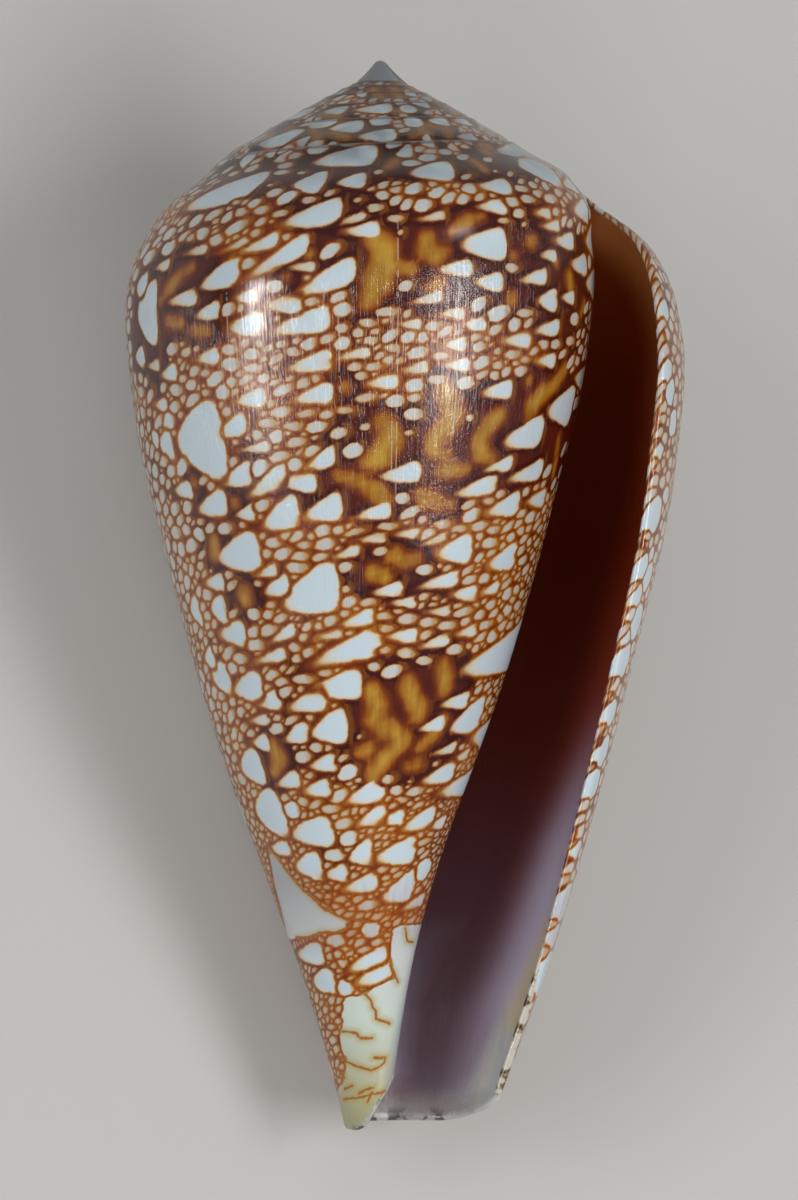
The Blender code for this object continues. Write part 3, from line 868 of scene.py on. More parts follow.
def band_at(low, high, fade, wavering):
    """1 in a band across the shell, whose edges waver."""
    return between((low - fade, low + fade, high - fade, high + fade), own_distance + wander * wavering)


bands = sum(band_at(low, high, BAND_FADE, BAND_WAVERS) for low, high in BANDS)
darkness = bands * smooth_step(*PATCH_EDGE, wander + OTHER_PATCHES * fine_wander) * (1.0 - seen)
for across, down, reach_across, reach_down in DARK_PATCHES:
    angle, distance, radius = seen_at(across, down)
    from_patch = vertex_points - turn_point(angle, radius, distance)
    same_turn = np.abs(vertex_angle - angle) < 180.0
    reach = np.hypot(from_patch[:, 0] / reach_across, from_patch[:, 1] / reach_down) / PHOTO_SCALE
    darkness = np.maximum(darkness, np.where(same_turn, 1.0 - smooth_step(*DARK_PATCH_EDGE, reach), 0.0))
spire = (vertex_places[:, 1] < SPIRE_ENDS) & (vertex_growth[:, 1] < SPIRE_WAY * vertex_size)
spire_patches = smooth_step(*SPIRE_PATCH_EDGE, fine_wander + wander * OTHER_PATCHES)
spire_darkness = SPIRE_DARKNESS * spire_patches
darkness = np.where(spire, np.maximum(darkness, spire_darkness), darkness)

# Ochre flames: listed in front, and wandering down the dark bands on the back
BACK_FLAMES = 170
FLAMES_FROM_DARKNESS = 0.5
FLAMES_UNSEEN_BELOW = 0.3
ALL_ROUND_ABOVE = 5.5
FLAME_HALF_WIDTH = (0.25, 0.6)
FLAME_PIECES = (2, 6)
FLAME_TURN = (-4.0, 4.0)
FLAME_STEP = (0.5, 1.1)
SPIRE_FLAME_WIDTH = 0.7
SPIRE_FLAME_STEP = 0.3
FLAME_DARKENS = (0.2, 0.9)
SMALLEST_SCALE = 0.5
FULL_SCALE_RADIUS = 11.0
RANDOM_SEED = 11
random_numbers = np.random.default_rng(RANDOM_SEED)
flames = []
for flame in FLAMES:
    flames.append([(*seen_at(*pixel)[:2], FLAMES_WIDENED * half * PHOTO_SCALE) for *pixel, half in flame])
unseen = (seen < FLAMES_UNSEEN_BELOW) | (vertex_places[:, 1] < ALL_ROUND_ABOVE)
outer_face = (vertex_growth[:, 1] < FAR) & (vertex_places[:, 0] < 0.0)
can_start = (darkness > FLAMES_FROM_DARKNESS) & unseen & outer_face
flame_starts = np.flatnonzero(can_start)
for index in random_numbers.choice(flame_starts, BACK_FLAMES, replace=False):
    angle, distance = vertex_angle[index], vertex_places[index, 1]
    size = min(max(vertex_places[index, 2] / FULL_SCALE_RADIUS, SMALLEST_SCALE), 1.0)
    flame = []
    for _ in range(random_numbers.integers(*FLAME_PIECES)):
        half = random_numbers.uniform(*FLAME_HALF_WIDTH)
        flame.append((angle, distance, size * half * (SPIRE_FLAME_WIDTH if spire[index] else 1.0)))
        angle += random_numbers.uniform(*FLAME_TURN)
        step = size * random_numbers.uniform(*FLAME_STEP)
        distance += step * (SPIRE_FLAME_STEP if spire[index] else 1.0)
    flames.append(flame)


def way_from_line(turn, way, radius, line):
    """Distance of points to each piece of a line, the share of it where they are nearest, and its ends."""
    for (turn_1, way_1, *first), (turn_2, way_2, *last) in zip(line, line[1:] or line):
        along, down = (turn - turn_1) * radius, way - way_1
        line_along, line_down = (turn_2 - turn_1) * radius, way_2 - way_1
        share = (along * line_along + down * line_down) / (line_along ** 2 + line_down ** 2 + 1e-9)
        share = np.clip(share, 0.0, 1.0)
        yield np.hypot(along - share * line_along, down - share * line_down), share, first, last


flame_gap = np.full(len(mesh.vertices), NOT_NEAR)
for flame in flames:
    line = [(math.radians(angle), way_down(angle, distance), half) for angle, distance, half in flame]
    pieces = way_from_line(vertex_growth[:, 0], vertex_growth[:, 1], vertex_places[:, 2], line)
    for away, share, first, last in pieces:
        gap = away - (first[0] + share * (last[0] - first[0]))
        near = np.maximum(1.0 - np.abs(gap - flame_gap) / FLAMES_MERGE, 0.0)
        flame_gap = np.minimum(gap, flame_gap) - near ** 3 * FLAMES_MERGE / 6.0
darkness = np.maximum(darkness, 1.0 - smooth_step(*FLAME_DARKENS, flame_gap))
store(mesh, "dark", "FLOAT", "POINT", darkness)
store(mesh, "ochre", "FLOAT", "POINT", flame_gap)


def gap_to_part(points, part):
    """Distance of points to a closed line, negative inside it."""
    part = np.array(part, float)
    ahead = np.roll(part, -1, axis=0)
    closest = np.full(len(points), 1e9)
    inside = np.zeros(len(points), bool)
    for here, there in zip(part, ahead):
        side = there - here
        share = np.clip(((points - here) @ side) / (side @ side), 0.0, 1.0)
        closest = np.minimum(closest, np.linalg.norm(points - here - share[:, None] * side, axis=1))
        crosses = (here[1] > points[:, 1]) != (there[1] > points[:, 1])
        height = there[1] - here[1] if there[1] != here[1] else 1e-9
        meets = here[0] + (points[:, 1] - here[1]) / height * side[0]
        inside ^= crosses & (points[:, 0] < meets)
    return np.where(inside, -closest, closest)


# How far each corner is from the bare parts, as the photograph shows them
SEEN_FROM_HEIGHT = -2.0
BARE_BELOW = 40.0
shrink = 1.0 - vertex_points[:, 2] / CAMERA_HEIGHT
pixels = np.stack((
    (CAMERA_SIDE + (vertex_points[:, 0] - CAMERA_SIDE) / shrink) / PHOTO_SCALE + PHOTO_AXIS,
    (CAMERA_DOWN - (vertex_points[:, 1] + CAMERA_DOWN) / shrink) / PHOTO_SCALE + PHOTO_APEX,
), axis=-1)
bare = np.full(len(mesh.vertices), NOT_NEAR)
in_view = np.flatnonzero((vertex_points[:, 2] > SEEN_FROM_HEIGHT) & (vertex_places[:, 1] > BARE_BELOW))
for part in BARE_PARTS:
    bare[in_view] = np.minimum(bare[in_view], gap_to_part(pixels[in_view], part) * PHOTO_SCALE)
store(mesh, "bare", "FLOAT", "POINT", bare)

# Smaller tents fill what is left, from large to small, finer in some bands. The bare parts stay empty
TENT_ROUNDS = (
    # smallest, largest, share of faces tried, darkest place, flattest and steepest side, only unseen
    (0.9, 1.3, 0.006, 0.75, 0.35, 0.65, True),
    (0.6, 0.85, 0.012, 0.9, 0.3, 0.65, True),
    (0.45, 0.62, 0.05, 0.9, 0.25, 0.6, True),
    (0.36, 0.5, 0.15, 0.9, 0.5, 0.85, True),
    (0.3, 0.46, 0.7, 0.6, 0.5, 0.85, False),
    (0.23, 0.34, 1.0, 0.5, 0.5, 0.85, False),
    (0.17, 0.26, 1.0, 0.35, 0.5, 0.9, False),
    (0.12, 0.18, 0.8, 0.2, 0.6, 0.9, False),
)
OVALS_BELOW = 0.45
SMALLEST_ON_COARSE_PARTS = 0.15
NEAR_LIP = 16.0
BETWEEN_TENTS = 0.05
BETWEEN_DARK_TENTS = 0.28
DARK_TENTS_KEPT = 0.05
WAY_JITTER = 0.17
SKIPPED_BELOW = 0.7
FINE_BANDS = ((9.0, 11.0, 0.6), (19.8, 24.0, 0.8), (34.0, 41.0, 0.85), (52.0, 60.0, 0.85))
FINE_BAND_FADE = 0.6
FINE_BAND_WAVERS = 2.0
FINENESS_VARIES = 0.35
COARSE_SPIRE_ENDS = 6.0
COARSE_SPIRE_WAY = 4.0
LARGEST_LEAN = 0.5
SIZE_PER_ROOM = 1.1
NO_TENT = (FAR, FAR, 0.1, 0.5)
fineness = np.ones(len(mesh.vertices))
for low, high, finest in FINE_BANDS:
    band = band_at(low, high, FINE_BAND_FADE, FINE_BAND_WAVERS)
    fineness = np.minimum(fineness, 1.0 + (finest - 1.0) * band)
fineness = fineness * (1.0 + FINENESS_VARIES * fine_wander)
values = np.stack((fineness, darkness, seen, np.minimum(flame_gap, bare)), axis=-1)[corners]
fineness, darkness, seen, free_gap = face_means(values).T
on_spire = (face_distance < COARSE_SPIRE_ENDS) & (face_way < COARSE_SPIRE_WAY)
near_lip = np.degrees(face_turn) > lip_angle_at(face_distance) - NEAR_LIP
coarse_parts = on_spire | near_lip
for smallest, largest, share, darkest, flattest, steepest, only_unseen in TENT_ROUNDS:
    tried = np.flatnonzero(patterned & (random_numbers.random(faces) < share))
    if only_unseen:
        tried = tried[(seen[tried] < 0.5) | on_spire[tried]]
    tried = tried[~(coarse_parts[tried] & (smallest < SMALLEST_ON_COARSE_PARTS))]
    random_numbers.shuffle(tried)
    for index in tried:
        scale = min(max(face_radius[index] / FULL_SCALE_RADIUS, SMALLEST_SCALE), 1.0) * fineness[index]
        dark = darkness[index]
        if gaps[index].min() < SKIPPED_BELOW * smallest * scale or free_gap[index] < smallest * scale:
            continue
        if dark > darkest and random_numbers.random() > DARK_TENTS_KEPT:
            continue
        turn_here = face_turn[index] + random_numbers.uniform(-0.5, 0.5) * math.radians(STEP_ANGLE)
        way_here = face_way[index] + random_numbers.uniform(-WAY_JITTER, WAY_JITTER)
        around = np.array([tents[other] for other in nearest[index] if other >= 0])
        room = NOT_NEAR
        if len(around):
            room = tent_gap(turn_here, way_here, face_radius[index], around).min()
        room = min(room, free_gap[index]) - BETWEEN_TENTS - BETWEEN_DARK_TENTS * dark
        if room < smallest * scale:
            continue
        size = min(random_numbers.uniform(smallest, largest) * scale, SIZE_PER_ROOM * room)
        kind = TENT if smallest >= OVALS_BELOW else OVAL
        lean = 0.0 if near_lip[index] else random_numbers.uniform(0.0, LARGEST_LEAN)
        code = tent_code(kind, lean, random_numbers.uniform(flattest, steepest))
        put_tent(face_points[index], (turn_here, way_here, size, code))

tents = np.array(tents + [NO_TENT])
order = np.argsort(gaps, axis=1)
nearest = np.take_along_axis(nearest, order, axis=1)
for place in range(TENTS_PER_FACE):
    store(mesh, f"tent_{place + 1}", "FLOAT_COLOR", "FACE", tents[nearest[:, place]])

# The pieces of brown line nearest to each face
LINES_PER_FACE = 2
pieces = []
for line in BROWN_LINES:
    ends = [seen_at(*pixel)[:2] for pixel in line]
    ends = [(math.radians(angle), way_down(angle, distance)) for angle, distance in ends]
    pieces += zip(ends, ends[1:])
line_gaps = [next(way_from_line(face_turn, face_way, face_radius, piece))[0] for piece in pieces]
line_order = np.argsort(np.array(line_gaps), axis=0)
for place in range(LINES_PER_FACE):
    store(mesh, f"line_{place + 1}", "FLOAT_COLOR", "FACE", np.array(pieces)[line_order[place]])

# Material of the shell
# Glossy aragonite. The outer layer carries the pattern under a thin clear surface with fine growth lines
# and scratches. The inside is dark red-brown with a lavender and cream glaze near the lip, made paler in
# places as painted light where little light reaches. The bare enamel carries a painted highlight.


def linear(text):
    """A colour for a node from its sRGB hex digits."""
    parts = [int(text[place:place + 2], 16) / 255.0 for place in (0, 2, 4)]
    return [part / 12.92 if part <= 0.04045 else ((part + 0.055) / 1.055) ** 2.4 for part in parts] + [1.0]


material = bpy.data.materials.new("glossy patterned aragonite")
material.use_nodes = True
tree = material.node_tree
tree.nodes.clear()


MAIN_SETTINGS = {
    "Math": "operation",
    "VectorMath": "operation",
    "Mix": "data_type",
    "MapRange": "interpolation_type",
}


def add(kind, *values, stops=(), **settings):
    """Adds a node. The kind may name its main setting too, and the values fill its inputs in order."""
    kind, _, main_setting = kind.partition(" ")
    node = tree.nodes.new("ShaderNode" + kind)
    if main_setting:
        settings[MAIN_SETTINGS[kind]] = main_setting
    for name, value in settings.items():
        setattr(node, name, value)
    for socket, value in zip([socket for socket in node.inputs if socket.enabled], values):
        if isinstance(value, bpy.types.NodeSocket):
            tree.links.new(value, socket)
        elif value is not None:
            socket.default_value = linear(value) if isinstance(value, str) else value
    for index, (position, colour) in enumerate(stops):
        if index >= len(node.color_ramp.elements):
            node.color_ramp.elements.new(position)
        node.color_ramp.elements[index].position = position
        node.color_ramp.elements[index].color = linear(colour)
    outputs = [socket for socket in node.outputs if socket.enabled]
    return outputs[0] if len(outputs) == 1 else outputs


# Where a point is on the shell, in millimetres
in_mm = add("VectorMath SCALE", add("TexCoord")[3], 1.0 / MM)
turn, way, _ = add("SeparateXYZ", add("UVMap", uv_map="growth"))
depth, distance, radius = add("SeparateXYZ", add("Attribute", attribute_name="place")[1])

# The animal never draws quite evenly
WARP = 0.22
WARP_SIZE = 1.1
FINE_WARP = 0.1
FINE_WARP_SIZE = 0.28
coarse = add("TexNoise", in_mm, 1.0 / WARP_SIZE, 1.0)[1]
fine = add("TexNoise", in_mm, 1.0 / FINE_WARP_SIZE, 1.0)[1]
coarse = add("VectorMath SCALE", add("VectorMath SUBTRACT", coarse, (0.5, 0.5, 0.5)), WARP)
fine = add("VectorMath SCALE", add("VectorMath SUBTRACT", fine, (0.5, 0.5, 0.5)), FINE_WARP)
warp_along, warp_across, _ = add("SeparateXYZ", add("VectorMath ADD", coarse, fine))
drawn_turn = add("Math ADD", turn, add("Math DIVIDE", warp_along, radius))
drawn_way = add("Math ADD", way, warp_across)

# How far the nearest and the second nearest tent are, and what the nearest one is
nearest = add("Attribute", attribute_name="bare")[2]
second = FAR
winner = (-NOT_NEAR, 10.0 * BARE, 0.0)
for place in range(TENTS_PER_FACE):
    colour, _, _, code = add("Attribute", attribute_name=f"tent_{place + 1}")
    tent_turn, tent_way, size = add("SeparateXYZ", colour)
    along = add("Math MULTIPLY", add("Math SUBTRACT", drawn_turn, tent_turn), radius)
    lean = add("Math MULTIPLY", add("Math FLOOR", add("Math MODULO", code, 10.0)), 0.1)
    middle_way = add("Math MULTIPLY_ADD", lean, along, tent_way)
    off_middle = add("Math SUBTRACT", drawn_way, middle_way)
    rounding = add("Math MULTIPLY", size, ROUND_POINT)
    across = add("VectorMath LENGTH", add("CombineXYZ", off_middle, rounding))
    shape = add("Math FRACT", code)
    side = add("Math MULTIPLY_ADD", add("Math POWER", shape, 2.0), -1.0, 1.0)
    side = add("Math SQRT", side)
    behind = add("Math MULTIPLY", add("Math ADD", along, size), -1.0)
    beside = add("Math MULTIPLY_ADD", side, across, add("Math MULTIPLY", size, -1.0))
    beside = add("Math MULTIPLY_ADD", shape, along, beside)
    corners = add("Math MULTIPLY", size, ROUND_CORNERS)
    gap = add("Math SMOOTH_MAX", behind, beside, corners)
    squashed = add("CombineXYZ", add("Math MULTIPLY", along, shape), off_middle)
    oval_gap = add("Math SUBTRACT", add("VectorMath LENGTH", squashed), size)
    kind = add("Math FLOOR", add("Math MULTIPLY", code, 0.1))
    is_oval = add("Math GREATER_THAN", kind, 0.5)
    gap = add("Mix FLOAT", is_oval, gap, oval_gap)
    closer = add("Math LESS_THAN", gap, nearest)
    farther = add("Math MAXIMUM", gap, nearest)
    second = add("Math MINIMUM", second, farther)
    nearest = add("Math MINIMUM", gap, nearest)
    winner = add("Mix VECTOR", closer, winner, add("CombineXYZ", behind, code, size))
behind, code, size = add("SeparateXYZ", winner)

# How far a point is outside its tent, or beyond the middle of the line between two tents
NET_LINE = 0.14
to_middle = add("Math ADD", add("Math SUBTRACT", nearest, second), NET_LINE)
gap = add("Math MAXIMUM", nearest, add("Math MULTIPLY", to_middle, 0.5))

# Growth lines run across the turn
GROWTH_LINE = 0.12
GROWTH_LINE_LENGTH = 5.0
STREAK = 0.7
STREAK_LENGTH = 3.0
TYPICAL_RADIUS = 12.0


def add_streaks(width, length, detail, detail_share):
    """Noise stretched along the growth lines, with sizes in millimetres at a typical radius."""
    along = add("Math MULTIPLY", turn, TYPICAL_RADIUS / width)
    down = add("Math MULTIPLY", way, 1.0 / length)
    return add("TexNoise", add("CombineXYZ", along, down), 1.0, detail, detail_share)[0]


growth_lines = add_streaks(GROWTH_LINE, GROWTH_LINE_LENGTH, 3.0, 0.6)
streaks = add_streaks(STREAK, STREAK_LENGTH, 3.0, 0.6)

# The ground between the tents: red-brown, darker where it is wide and in the dark bands
TONES_PER_MM = 0.22
WIDENED_WHERE_DARK = 1.2
RAGGED_BY = 0.35
WIDE_GROUND = 0.8
dark = add("Attribute", attribute_name="dark")[2]
widened = add("Math MULTIPLY_ADD", dark, WIDENED_WHERE_DARK, 1.0)
uneven = add("Math MULTIPLY_ADD", add("Math SUBTRACT", streaks, 0.5), RAGGED_BY, gap)
uneven = add("Math MINIMUM", uneven, gap)
ahead = add("MapRange", behind, -0.05, -0.5, 0.85, 1.25)
ground_gap = add("Math MULTIPLY", add("Math MULTIPLY", uneven, widened), ahead)
ground_place = add("MapRange", ground_gap, 0.0, WIDE_GROUND)
net_ground = add("ValToRGB", ground_place, stops=(
    (0.0, "AA6A20"), (0.06, "984C0E"), (0.15, "7C330B"),
    (0.4, "64210A"), (0.72, "54190B"), (1.0, "3C120F"),
))[0]
dark_ground = add("ValToRGB", ground_place, stops=(
    (0.0, "80421E"), (0.06, "682409"), (0.16, "4A150A"),
    (0.34, "37110E"), (0.6, "481610"), (1.0, "56190F"),
))[0]
tone = add("Math MULTIPLY_ADD", add("TexNoise", in_mm, TONES_PER_MM, 2.0)[0], 1.6, dark)
tone = add("MapRange SMOOTHSTEP", tone, 0.65, 1.15)
ground = add("Mix RGBA", tone, net_ground, dark_ground)

# A paler trail on the straight side of each tent
TRAIL = 0.4
TRAIL_STRENGTH = 0.4
trail = add("MapRange SMOOTHSTEP", behind, -0.12, 0.05)
trail = add("Math MULTIPLY", trail, add("MapRange SMOOTHSTEP", gap, 0.4 * TRAIL, TRAIL, 1.0, 0.0))
ground = add("Mix RGBA", add("Math MULTIPLY", trail, TRAIL_STRENGTH), ground, "9E5C18")

# On the spire the ground is more olive
SPIRE_STARTS = (8.0, 5.5)
on_spire = add("MapRange", distance, *SPIRE_STARTS)
olive = add("Math MULTIPLY", on_spire, add("MapRange", ground_gap, 0.03, 0.25, 0.1, 0.8))
ground = add("Mix RGBA", olive, ground, "30220C")

# Ochre flames in the dark bands, with soft edges
OCHRE_SHADES_PER_MM = 0.5
FLAMES_STREAKED_BY = 0.5
FLAMES_BENT_BY = 1.8
FLAME_EDGE = (0.36, 0.24)
FLAMES_OLIVE_ON_SPIRE = 0.5
flame_gap = add("Attribute", attribute_name="ochre")[2]
ragged = add("Math MULTIPLY_ADD", add("Math SUBTRACT", streaks, 0.5), FLAMES_STREAKED_BY, flame_gap)
ragged = add("Math MULTIPLY_ADD", add("SeparateXYZ", coarse)[1], FLAMES_BENT_BY, ragged)
ochre = add("ValToRGB", add("MapRange", ragged, 0.42, -0.5), stops=(
    (0.0, "45180F"), (0.3, "6E2A0A"), (0.42, "8E4A0F"),
    (0.56, "A4681A"), (1.0, "BE9236"),
))[0]
shading = add("Math ADD", streaks, add("TexNoise", in_mm, OCHRE_SHADES_PER_MM, 2.0)[0])
shading = add("MapRange", shading, 0.9, 1.3, 0.0, 0.5)
ochre = add("Mix RGBA", shading, ochre, "7E440F")
is_ochre = add("MapRange SMOOTHSTEP", ragged, *FLAME_EDGE)
ochre = add("Mix RGBA", add("Math MULTIPLY", on_spire, FLAMES_OLIVE_ON_SPIRE), ochre, "5C4A1E")
ground = add("Mix RGBA", is_ochre, ground, ochre)

# White tents, cream near their edges, with a yellow fringe on the straight side. Small ones are creamier,
# and on the spire they are partly grey
GREYS_PER_MM = 0.6
CREAM_EDGE = 0.17
WIDEST_FRINGE = 0.32
FRINGE_FADE = (-0.02, 0.26)
FRINGE_STRENGTH = 0.7
SMALL_TENTS = (0.18, 0.55)
SMALL_TENTS_CREAM = 0.62
inner = add("Math MULTIPLY", gap, -1.0)
white = add("ValToRGB", add("MapRange", inner, 0.0, CREAM_EDGE), stops=(
    (0.0, "B28850"), (0.16, "D2B98E"), (0.42, "D4D2C9"), (0.8, "CAD9E2"),
))[0]
fringe_width = add("MapRange", streaks, 0.35, 0.7, 0.0, WIDEST_FRINGE)
fringe = add("MapRange", add("Math ADD", behind, fringe_width), *FRINGE_FADE)
white = add("Mix RGBA", add("Math MULTIPLY", fringe, FRINGE_STRENGTH), white, "B07C30")
small = add("MapRange", size, *SMALL_TENTS, SMALL_TENTS_CREAM, 0.0)
white = add("Mix RGBA", small, white, "B68C58")
grey = add("MapRange", add("TexNoise", in_mm, GREYS_PER_MM, 2.0)[0], 0.35, 0.6, 0.25, 0.8)
white = add("Mix RGBA", add("Math MULTIPLY", on_spire, grey), white, "7F9096")

# Bare enamel, yellower towards the base, with a painted greenish-white highlight around the middle of its
# length
# The greenish-white stops in the middle of this ramp are a painted highlight on the enamel
enamel_and_painted_highlight = add("ValToRGB", add("MapRange", distance, 46.0, 60.0), stops=(
    (0.0, "A8A9AE"), (0.3, "D0D4D2"), (0.55, "CCD7CC"),
    (0.8, "BAB89C"), (1.0, "A29F70"),
))[0]
beside_glaze = add("MapRange", depth, -2.2, -0.6, 0.0, 0.8)
beside_glaze = add("Math MULTIPLY", beside_glaze, add("MapRange", distance, 48.0, 54.0))
enamel_and_painted_highlight = add("Mix RGBA", beside_glaze, enamel_and_painted_highlight, "9498A6")
is_bare = add("Math GREATER_THAN", code, 10.0 * BARE - 1.0)
filling = add("Mix RGBA", is_bare, white, enamel_and_painted_highlight)
TENT_BLUR = 0.035
outside = add("MapRange SMOOTHSTEP", gap, -TENT_BLUR, TENT_BLUR)
colour = add("Mix RGBA", outside, filling, ground)

# Thin brown lines on the bare parts and along their edges
BROWN_LINE = 0.07
LINE_BLUR = 0.05
YELLOW_BESIDE_LINE = 0.5
line_gap = FAR
for place in range(LINES_PER_FACE):
    first, _, _, last_way = add("Attribute", attribute_name=f"line_{place + 1}")
    first_turn, first_way, last_turn = add("SeparateXYZ", first)
    along = add("Math MULTIPLY", add("Math SUBTRACT", drawn_turn, first_turn), radius)
    line_along = add("Math MULTIPLY", add("Math SUBTRACT", last_turn, first_turn), radius)
    point = add("CombineXYZ", along, add("Math SUBTRACT", drawn_way, first_way))
    line = add("CombineXYZ", line_along, add("Math SUBTRACT", last_way, first_way))
    share = add("VectorMath DOT_PRODUCT", point, line)
    share = add("Math DIVIDE", share, add("VectorMath DOT_PRODUCT", line, line), use_clamp=True)
    on_line = add("VectorMath SCALE", line, share)
    line_gap = add("Math MINIMUM", line_gap, add("VectorMath DISTANCE", point, on_line))
line_width = add("MapRange", streaks, 0.3, 0.7, 0.6 * BROWN_LINE, 1.3 * BROWN_LINE)
on_line = add("Math SUBTRACT", line_gap, line_width)
on_line = add("MapRange SMOOTHSTEP", on_line, -LINE_BLUR, LINE_BLUR, 1.0, 0.0)
beside_line = add("MapRange SMOOTHERSTEP", line_gap, 0.0, YELLOW_BESIDE_LINE, 0.55, 0.0)
beside_line = add("Math MULTIPLY", beside_line, is_bare)
colour = add("Mix RGBA", beside_line, colour, "B49A44")
colour = add("Mix RGBA", on_line, colour, "A25F16")

# A red-brown stain above the bare parts of the base
STAIN = 0.4
stain = add("MapRange SMOOTHSTEP", distance, 44.5, 48.0)
stain = add("Math MULTIPLY", stain, add("MapRange SMOOTHSTEP", distance, 49.0, 50.5, 1.0, 0.0))
stain = add("Math MULTIPLY", stain, add("MapRange", streaks, 0.3, 0.7, 0.3 * STAIN, STAIN))
stain = add("Math MULTIPLY", stain, add("Math SUBTRACT", 1.0, is_bare))
colour = add("Mix RGBA", stain, colour, "A04A28")

# Old scars in the surface run along growth lines. They are narrow and pale, and broken up by chance
SCAR_EDGE = (0.01, 0.06)
SCAR_STRENGTH = 0.5
SCARS_BENT_BY = 0.3
SCARS_PER_MM = 1.2
SCARS = (
    # turn angle, and where it starts and ends
    (85.5, 9.0, 25.0),
    (86.8, 14.0, 24.0),
    (99.8, 13.0, 19.5),
    (70.0, 12.0, 23.0),
    (128.0, 13.0, 21.0),
)
scarred = add("Math GREATER_THAN", add("TexNoise", in_mm, SCARS_PER_MM, 2.0)[0], 0.5)
for degrees, top, bottom in SCARS:
    off = add("Math MULTIPLY", add("Math SUBTRACT", turn, math.radians(degrees)), radius)
    off = add("Math ADD", off, add("Math MULTIPLY", warp_along, SCARS_BENT_BY))
    scar = add("MapRange", add("Math ABSOLUTE", off), *SCAR_EDGE, SCAR_STRENGTH, 0.0)
    length = bottom - top
    from_middle = add("Math ABSOLUTE", add("Math SUBTRACT", distance, 0.5 * (top + bottom)))
    inside_ends = add("MapRange", from_middle, 0.42 * length, 0.5 * length, 1.0, 0.0)
    scar = add("Math MULTIPLY", scar, add("Math MULTIPLY", inside_ends, scarred))
    colour = add("Mix RGBA", scar, colour, "CFC2A8")

# The inside: dark red-brown, lighter near the lip in the upper part, partly as painted light, with a
# lavender and a cream band towards the base, the cream band partly painted light too
BASE_WEAR_PER_MM = 0.8
RIM_SPECKS_PER_MM = 1.4
RIM_CHIPS_PER_MM = 1.3
deep = add("ValToRGB", add("MapRange", distance, 6.0, 60.0), stops=(
    (0.0, "B4561E"), (0.15, "A64A1A"), (0.4, "94381C"),
    (0.6, "8C4034"), (0.8, "86606A"), (1.0, "80707A"),
))[0]
# Paler near the lip in the upper part: partly the glaze's own colour there, partly painted light falling in
# past the lip
near_lip = add("MapRange SMOOTHSTEP", depth, 6.0, 12.0, 1.0, 0.0)
upper = add("MapRange SMOOTHSTEP", distance, 11.0, 27.0, 1.0, 0.0)
glaze_and_painted_light = add("Mix RGBA", add("Math MULTIPLY", near_lip, upper), deep, "F0A860")
lavender = add("MapRange SMOOTHSTEP", distance, 34.0, 48.0)
band_end = add("MapRange", distance, 44.0, 57.0, 9.0, 5.7)
band = add("MapRange SMOOTHSTEP", add("Math SUBTRACT", band_end, depth), -0.6, 4.0)
glaze_and_painted_light = add("Mix RGBA", add("Math MULTIPLY", band, lavender), glaze_and_painted_light, "CBC2DC")
far_band_starts = add("MapRange", distance, 50.0, 57.0, 9.2, 6.3)
far_band = add("MapRange", add("Math SUBTRACT", depth, far_band_starts), 0.0, 1.0)
far_band = add("Math MULTIPLY", far_band, add("MapRange", distance, 48.0, 54.0, 0.0, 0.6))
glaze_and_painted_light = add("Mix RGBA", far_band, glaze_and_painted_light, "CBC2DC")
# The cream margin by the lip is its own colour, made paler as painted light because little light reaches it
margin = add("MapRange SMOOTHSTEP", depth, 2.4, 4.8, 1.0, 0.0)
margin_starts = add("MapRange SMOOTHSTEP", distance, 43.0, 50.0)
glaze_and_painted_light = add("Mix RGBA", add("Math MULTIPLY", margin, margin_starts), glaze_and_painted_light, "DDD0AE")
towards_base = add("Math MULTIPLY_ADD", add("TexNoise", in_mm, BASE_WEAR_PER_MM, 3.0)[0], 2.5, distance)
white_patch = add("MapRange SMOOTHSTEP", towards_base, 55.0, 56.5)
glaze_and_painted_light = add("Mix RGBA", add("Math MULTIPLY", margin, white_patch), glaze_and_painted_light, "D0D6D4")
worn_base = add("MapRange SMOOTHSTEP", towards_base, 58.7, 60.6, 0.0, 0.8)
glaze_and_painted_light = add("Mix RGBA", worn_base, glaze_and_painted_light, "A39C95")
specks = add("ValToRGB", add("TexNoise", in_mm, RIM_SPECKS_PER_MM, 2.0)[0], stops=(
    (0.36, "3A2412"), (0.42, "8A7450"), (0.5, "C8C4B8"),
))[0]
rim = add("MapRange SMOOTHSTEP", depth, 0.05, 0.25, 1.0, 0.0)
glaze_and_painted_light = add("Mix RGBA", rim, glaze_and_painted_light, specks)
chips = add("MapRange", add("TexNoise", in_mm, RIM_CHIPS_PER_MM, 3.0)[0], 0.44, 0.52, 0.85, 0.0)
chips = add("Math MULTIPLY", chips, add("MapRange", distance, 58.9, 59.5))
glaze_and_painted_light = add("Mix RGBA", chips, glaze_and_painted_light, "2A2218")
turned_out = add("MapRange SMOOTHSTEP", distance, 46.0, 55.0, 0.0, 0.5)
is_inside = add("MapRange SMOOTHSTEP", add("Math ADD", depth, turned_out), -0.06, 0.04)
colour = add("Mix RGBA", is_inside, colour, glaze_and_painted_light)

# Dark line under each seam of the spire
SEAM_LINE = 0.14
seam = add("MapRange", way, 0.4 * SEAM_LINE, SEAM_LINE, 0.6, 0.0)
seam = add("Math SUBTRACT", seam, is_inside, use_clamp=True)
seam = add("Math MULTIPLY", seam, add("MapRange", distance, 6.0, 7.0, 1.0, 0.0))
colour = add("Mix RGBA", seam, colour, "3C1A0E")

# The plain first turn
tip = add("MapRange SMOOTHSTEP", distance, 1.15, 1.3, 1.0, 0.0)
colour = add("Mix RGBA", tip, colour, "80868A")

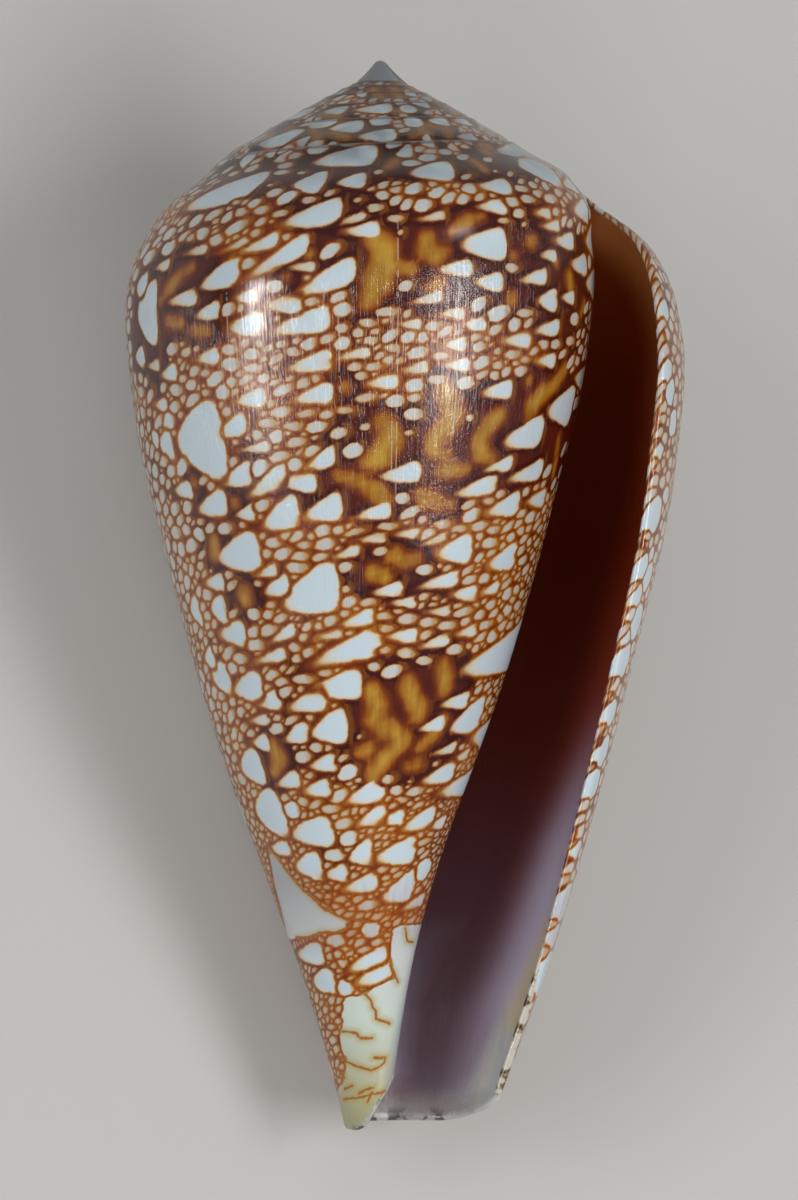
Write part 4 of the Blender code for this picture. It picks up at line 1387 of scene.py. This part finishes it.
# Fine scratches, and worn parts that shine less
PITS_PER_MM = 4.0
WORN_SIZE = 7.0
SCRATCH = 0.09
SCRATCH_LENGTH = 2.5
SURFACE_DEPTH = 0.016
REFRACTIVE_INDEX = 1.53
widest_part = add("MapRange", distance, 6.0, 12.0, 0.0, 0.2)
widest_part = add("Math SUBTRACT", widest_part, add("MapRange", distance, 22.0, 30.0, 0.0, 0.2))
worn = add("Math ADD", add("TexNoise", in_mm, 1.0 / WORN_SIZE, 2.0)[0], widest_part)
worn = add("MapRange SMOOTHSTEP", worn, 0.5, 0.66)
scratches = add("MapRange", add_streaks(SCRATCH, SCRATCH_LENGTH, 2.0, 0.7), 0.52, 0.72)
scratches = add("Math MULTIPLY", scratches, add("MapRange", worn, 0.0, 1.0, 0.25, 1.0))
pits = add("Math MULTIPLY", add("TexNoise", in_mm, PITS_PER_MM, 3.0, 0.7)[0], worn)
surface = add("Math MULTIPLY_ADD", scratches, -0.8, growth_lines)
surface = add("Math MULTIPLY_ADD", pits, 1.6, surface)
bump = add("Bump", add("MapRange", worn, 0.0, 1.0, 0.4, 1.0), SURFACE_DEPTH * MM, None, surface)
roughness = add("MapRange", growth_lines, 0.3, 0.7, 0.1, 0.16)
roughness = add("Math MULTIPLY_ADD", add("Math ADD", scratches, worn), 0.03, roughness)
shader = add("BsdfPrincipled", colour, 0.0, roughness, REFRACTIVE_INDEX, 1.0, bump)
add("OutputMaterial", shader)
shell.data.materials.append(material)
# Floor
# Not part of the shell: a wide pale plate that stands for the table it lies on and throws soft light up.
FLOOR_SIZE = 2.0
bpy.ops.object.select_all(action="DESELECT")
bpy.ops.mesh.primitive_plane_add(size=FLOOR_SIZE)
floor = bpy.context.object
floor.name = "floor"
floor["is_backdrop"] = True
floor_material = bpy.data.materials.new("matt pale floor")
floor_material.use_nodes = True
floor_inputs = floor_material.node_tree.nodes["Principled BSDF"].inputs
floor_inputs["Base Color"].default_value = (0.6, 0.59, 0.57, 1.0)
floor_inputs["Roughness"].default_value = 0.9
floor.data.materials.append(floor_material)

# Camera
# It looks straight down on the shell from where the photograph was taken.
CAMERA_AT = Vector((CAMERA_SIDE, -CAMERA_DOWN, CAMERA_HEIGHT)) * MM
CAMERA_LENS = 231.3
camera = bpy.data.objects.new("camera", bpy.data.cameras.new("camera"))
camera.data.lens = CAMERA_LENS
camera.data.sensor_width = 36.0
camera.data.clip_start = 0.01
camera.matrix_world = rest @ Matrix.Translation(CAMERA_AT)
bpy.context.collection.objects.link(camera)
bpy.context.scene.camera = camera

# Lights
# A studio with a dim room, soft lamps that light the shell, and two long strips that its gloss mirrors.
world = bpy.data.worlds.new("soft room light")
world.use_nodes = True
world_inputs = world.node_tree.nodes["Background"].inputs
world_inputs["Color"].default_value = (1.0, 1.0, 1.0, 1.0)
world_inputs["Strength"].default_value = 0.2
bpy.context.scene.world = world
bpy.context.scene.view_settings.view_transform = "Standard"

LIGHT_DISTANCE = 0.5
shell_middle = Vector((0.0, -0.021, 0.0))


def add_light(name, azimuth, along, width, length, power, mirrored=False):
    """A light over the shell that either lights it, or is only mirrored in its gloss."""
    data = bpy.data.lights.new(name, "AREA")
    data.shape = "RECTANGLE"
    data.size = width
    data.size_y = length
    data.energy = power
    light = bpy.data.objects.new(name, data)
    light.visible_glossy = mirrored
    light.visible_diffuse = not mirrored
    turn = Matrix.Rotation(math.radians(azimuth), 4, "Y") @ Matrix.Rotation(math.radians(along), 4, "X")
    away = Matrix.Translation((0.0, 0.0, LIGHT_DISTANCE))
    light.matrix_world = rest @ Matrix.Translation(shell_middle) @ turn @ away
    bpy.context.collection.objects.link(light)


add_light("left light", -40.0, 1.0, 0.15, 0.34, 0.45)
add_light("right light", 44.0, 3.0, 0.15, 0.34, 1.15)
add_light("light into the aperture", 12.0, 52.0, 0.2, 0.2, 0.6)
add_light("light on the spire", 0.0, -46.0, 0.3, 0.3, 0.15)
add_light("light on the lip", -30.0, -20.0, 0.2, 0.2, 0.25)
add_light("left strip", -53.0, 5.0, 0.06, 0.28, 1.3, mirrored=True)
add_light("right strip", 44.0, 6.0, 0.06, 0.28, 1.4, mirrored=True)

low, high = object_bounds()
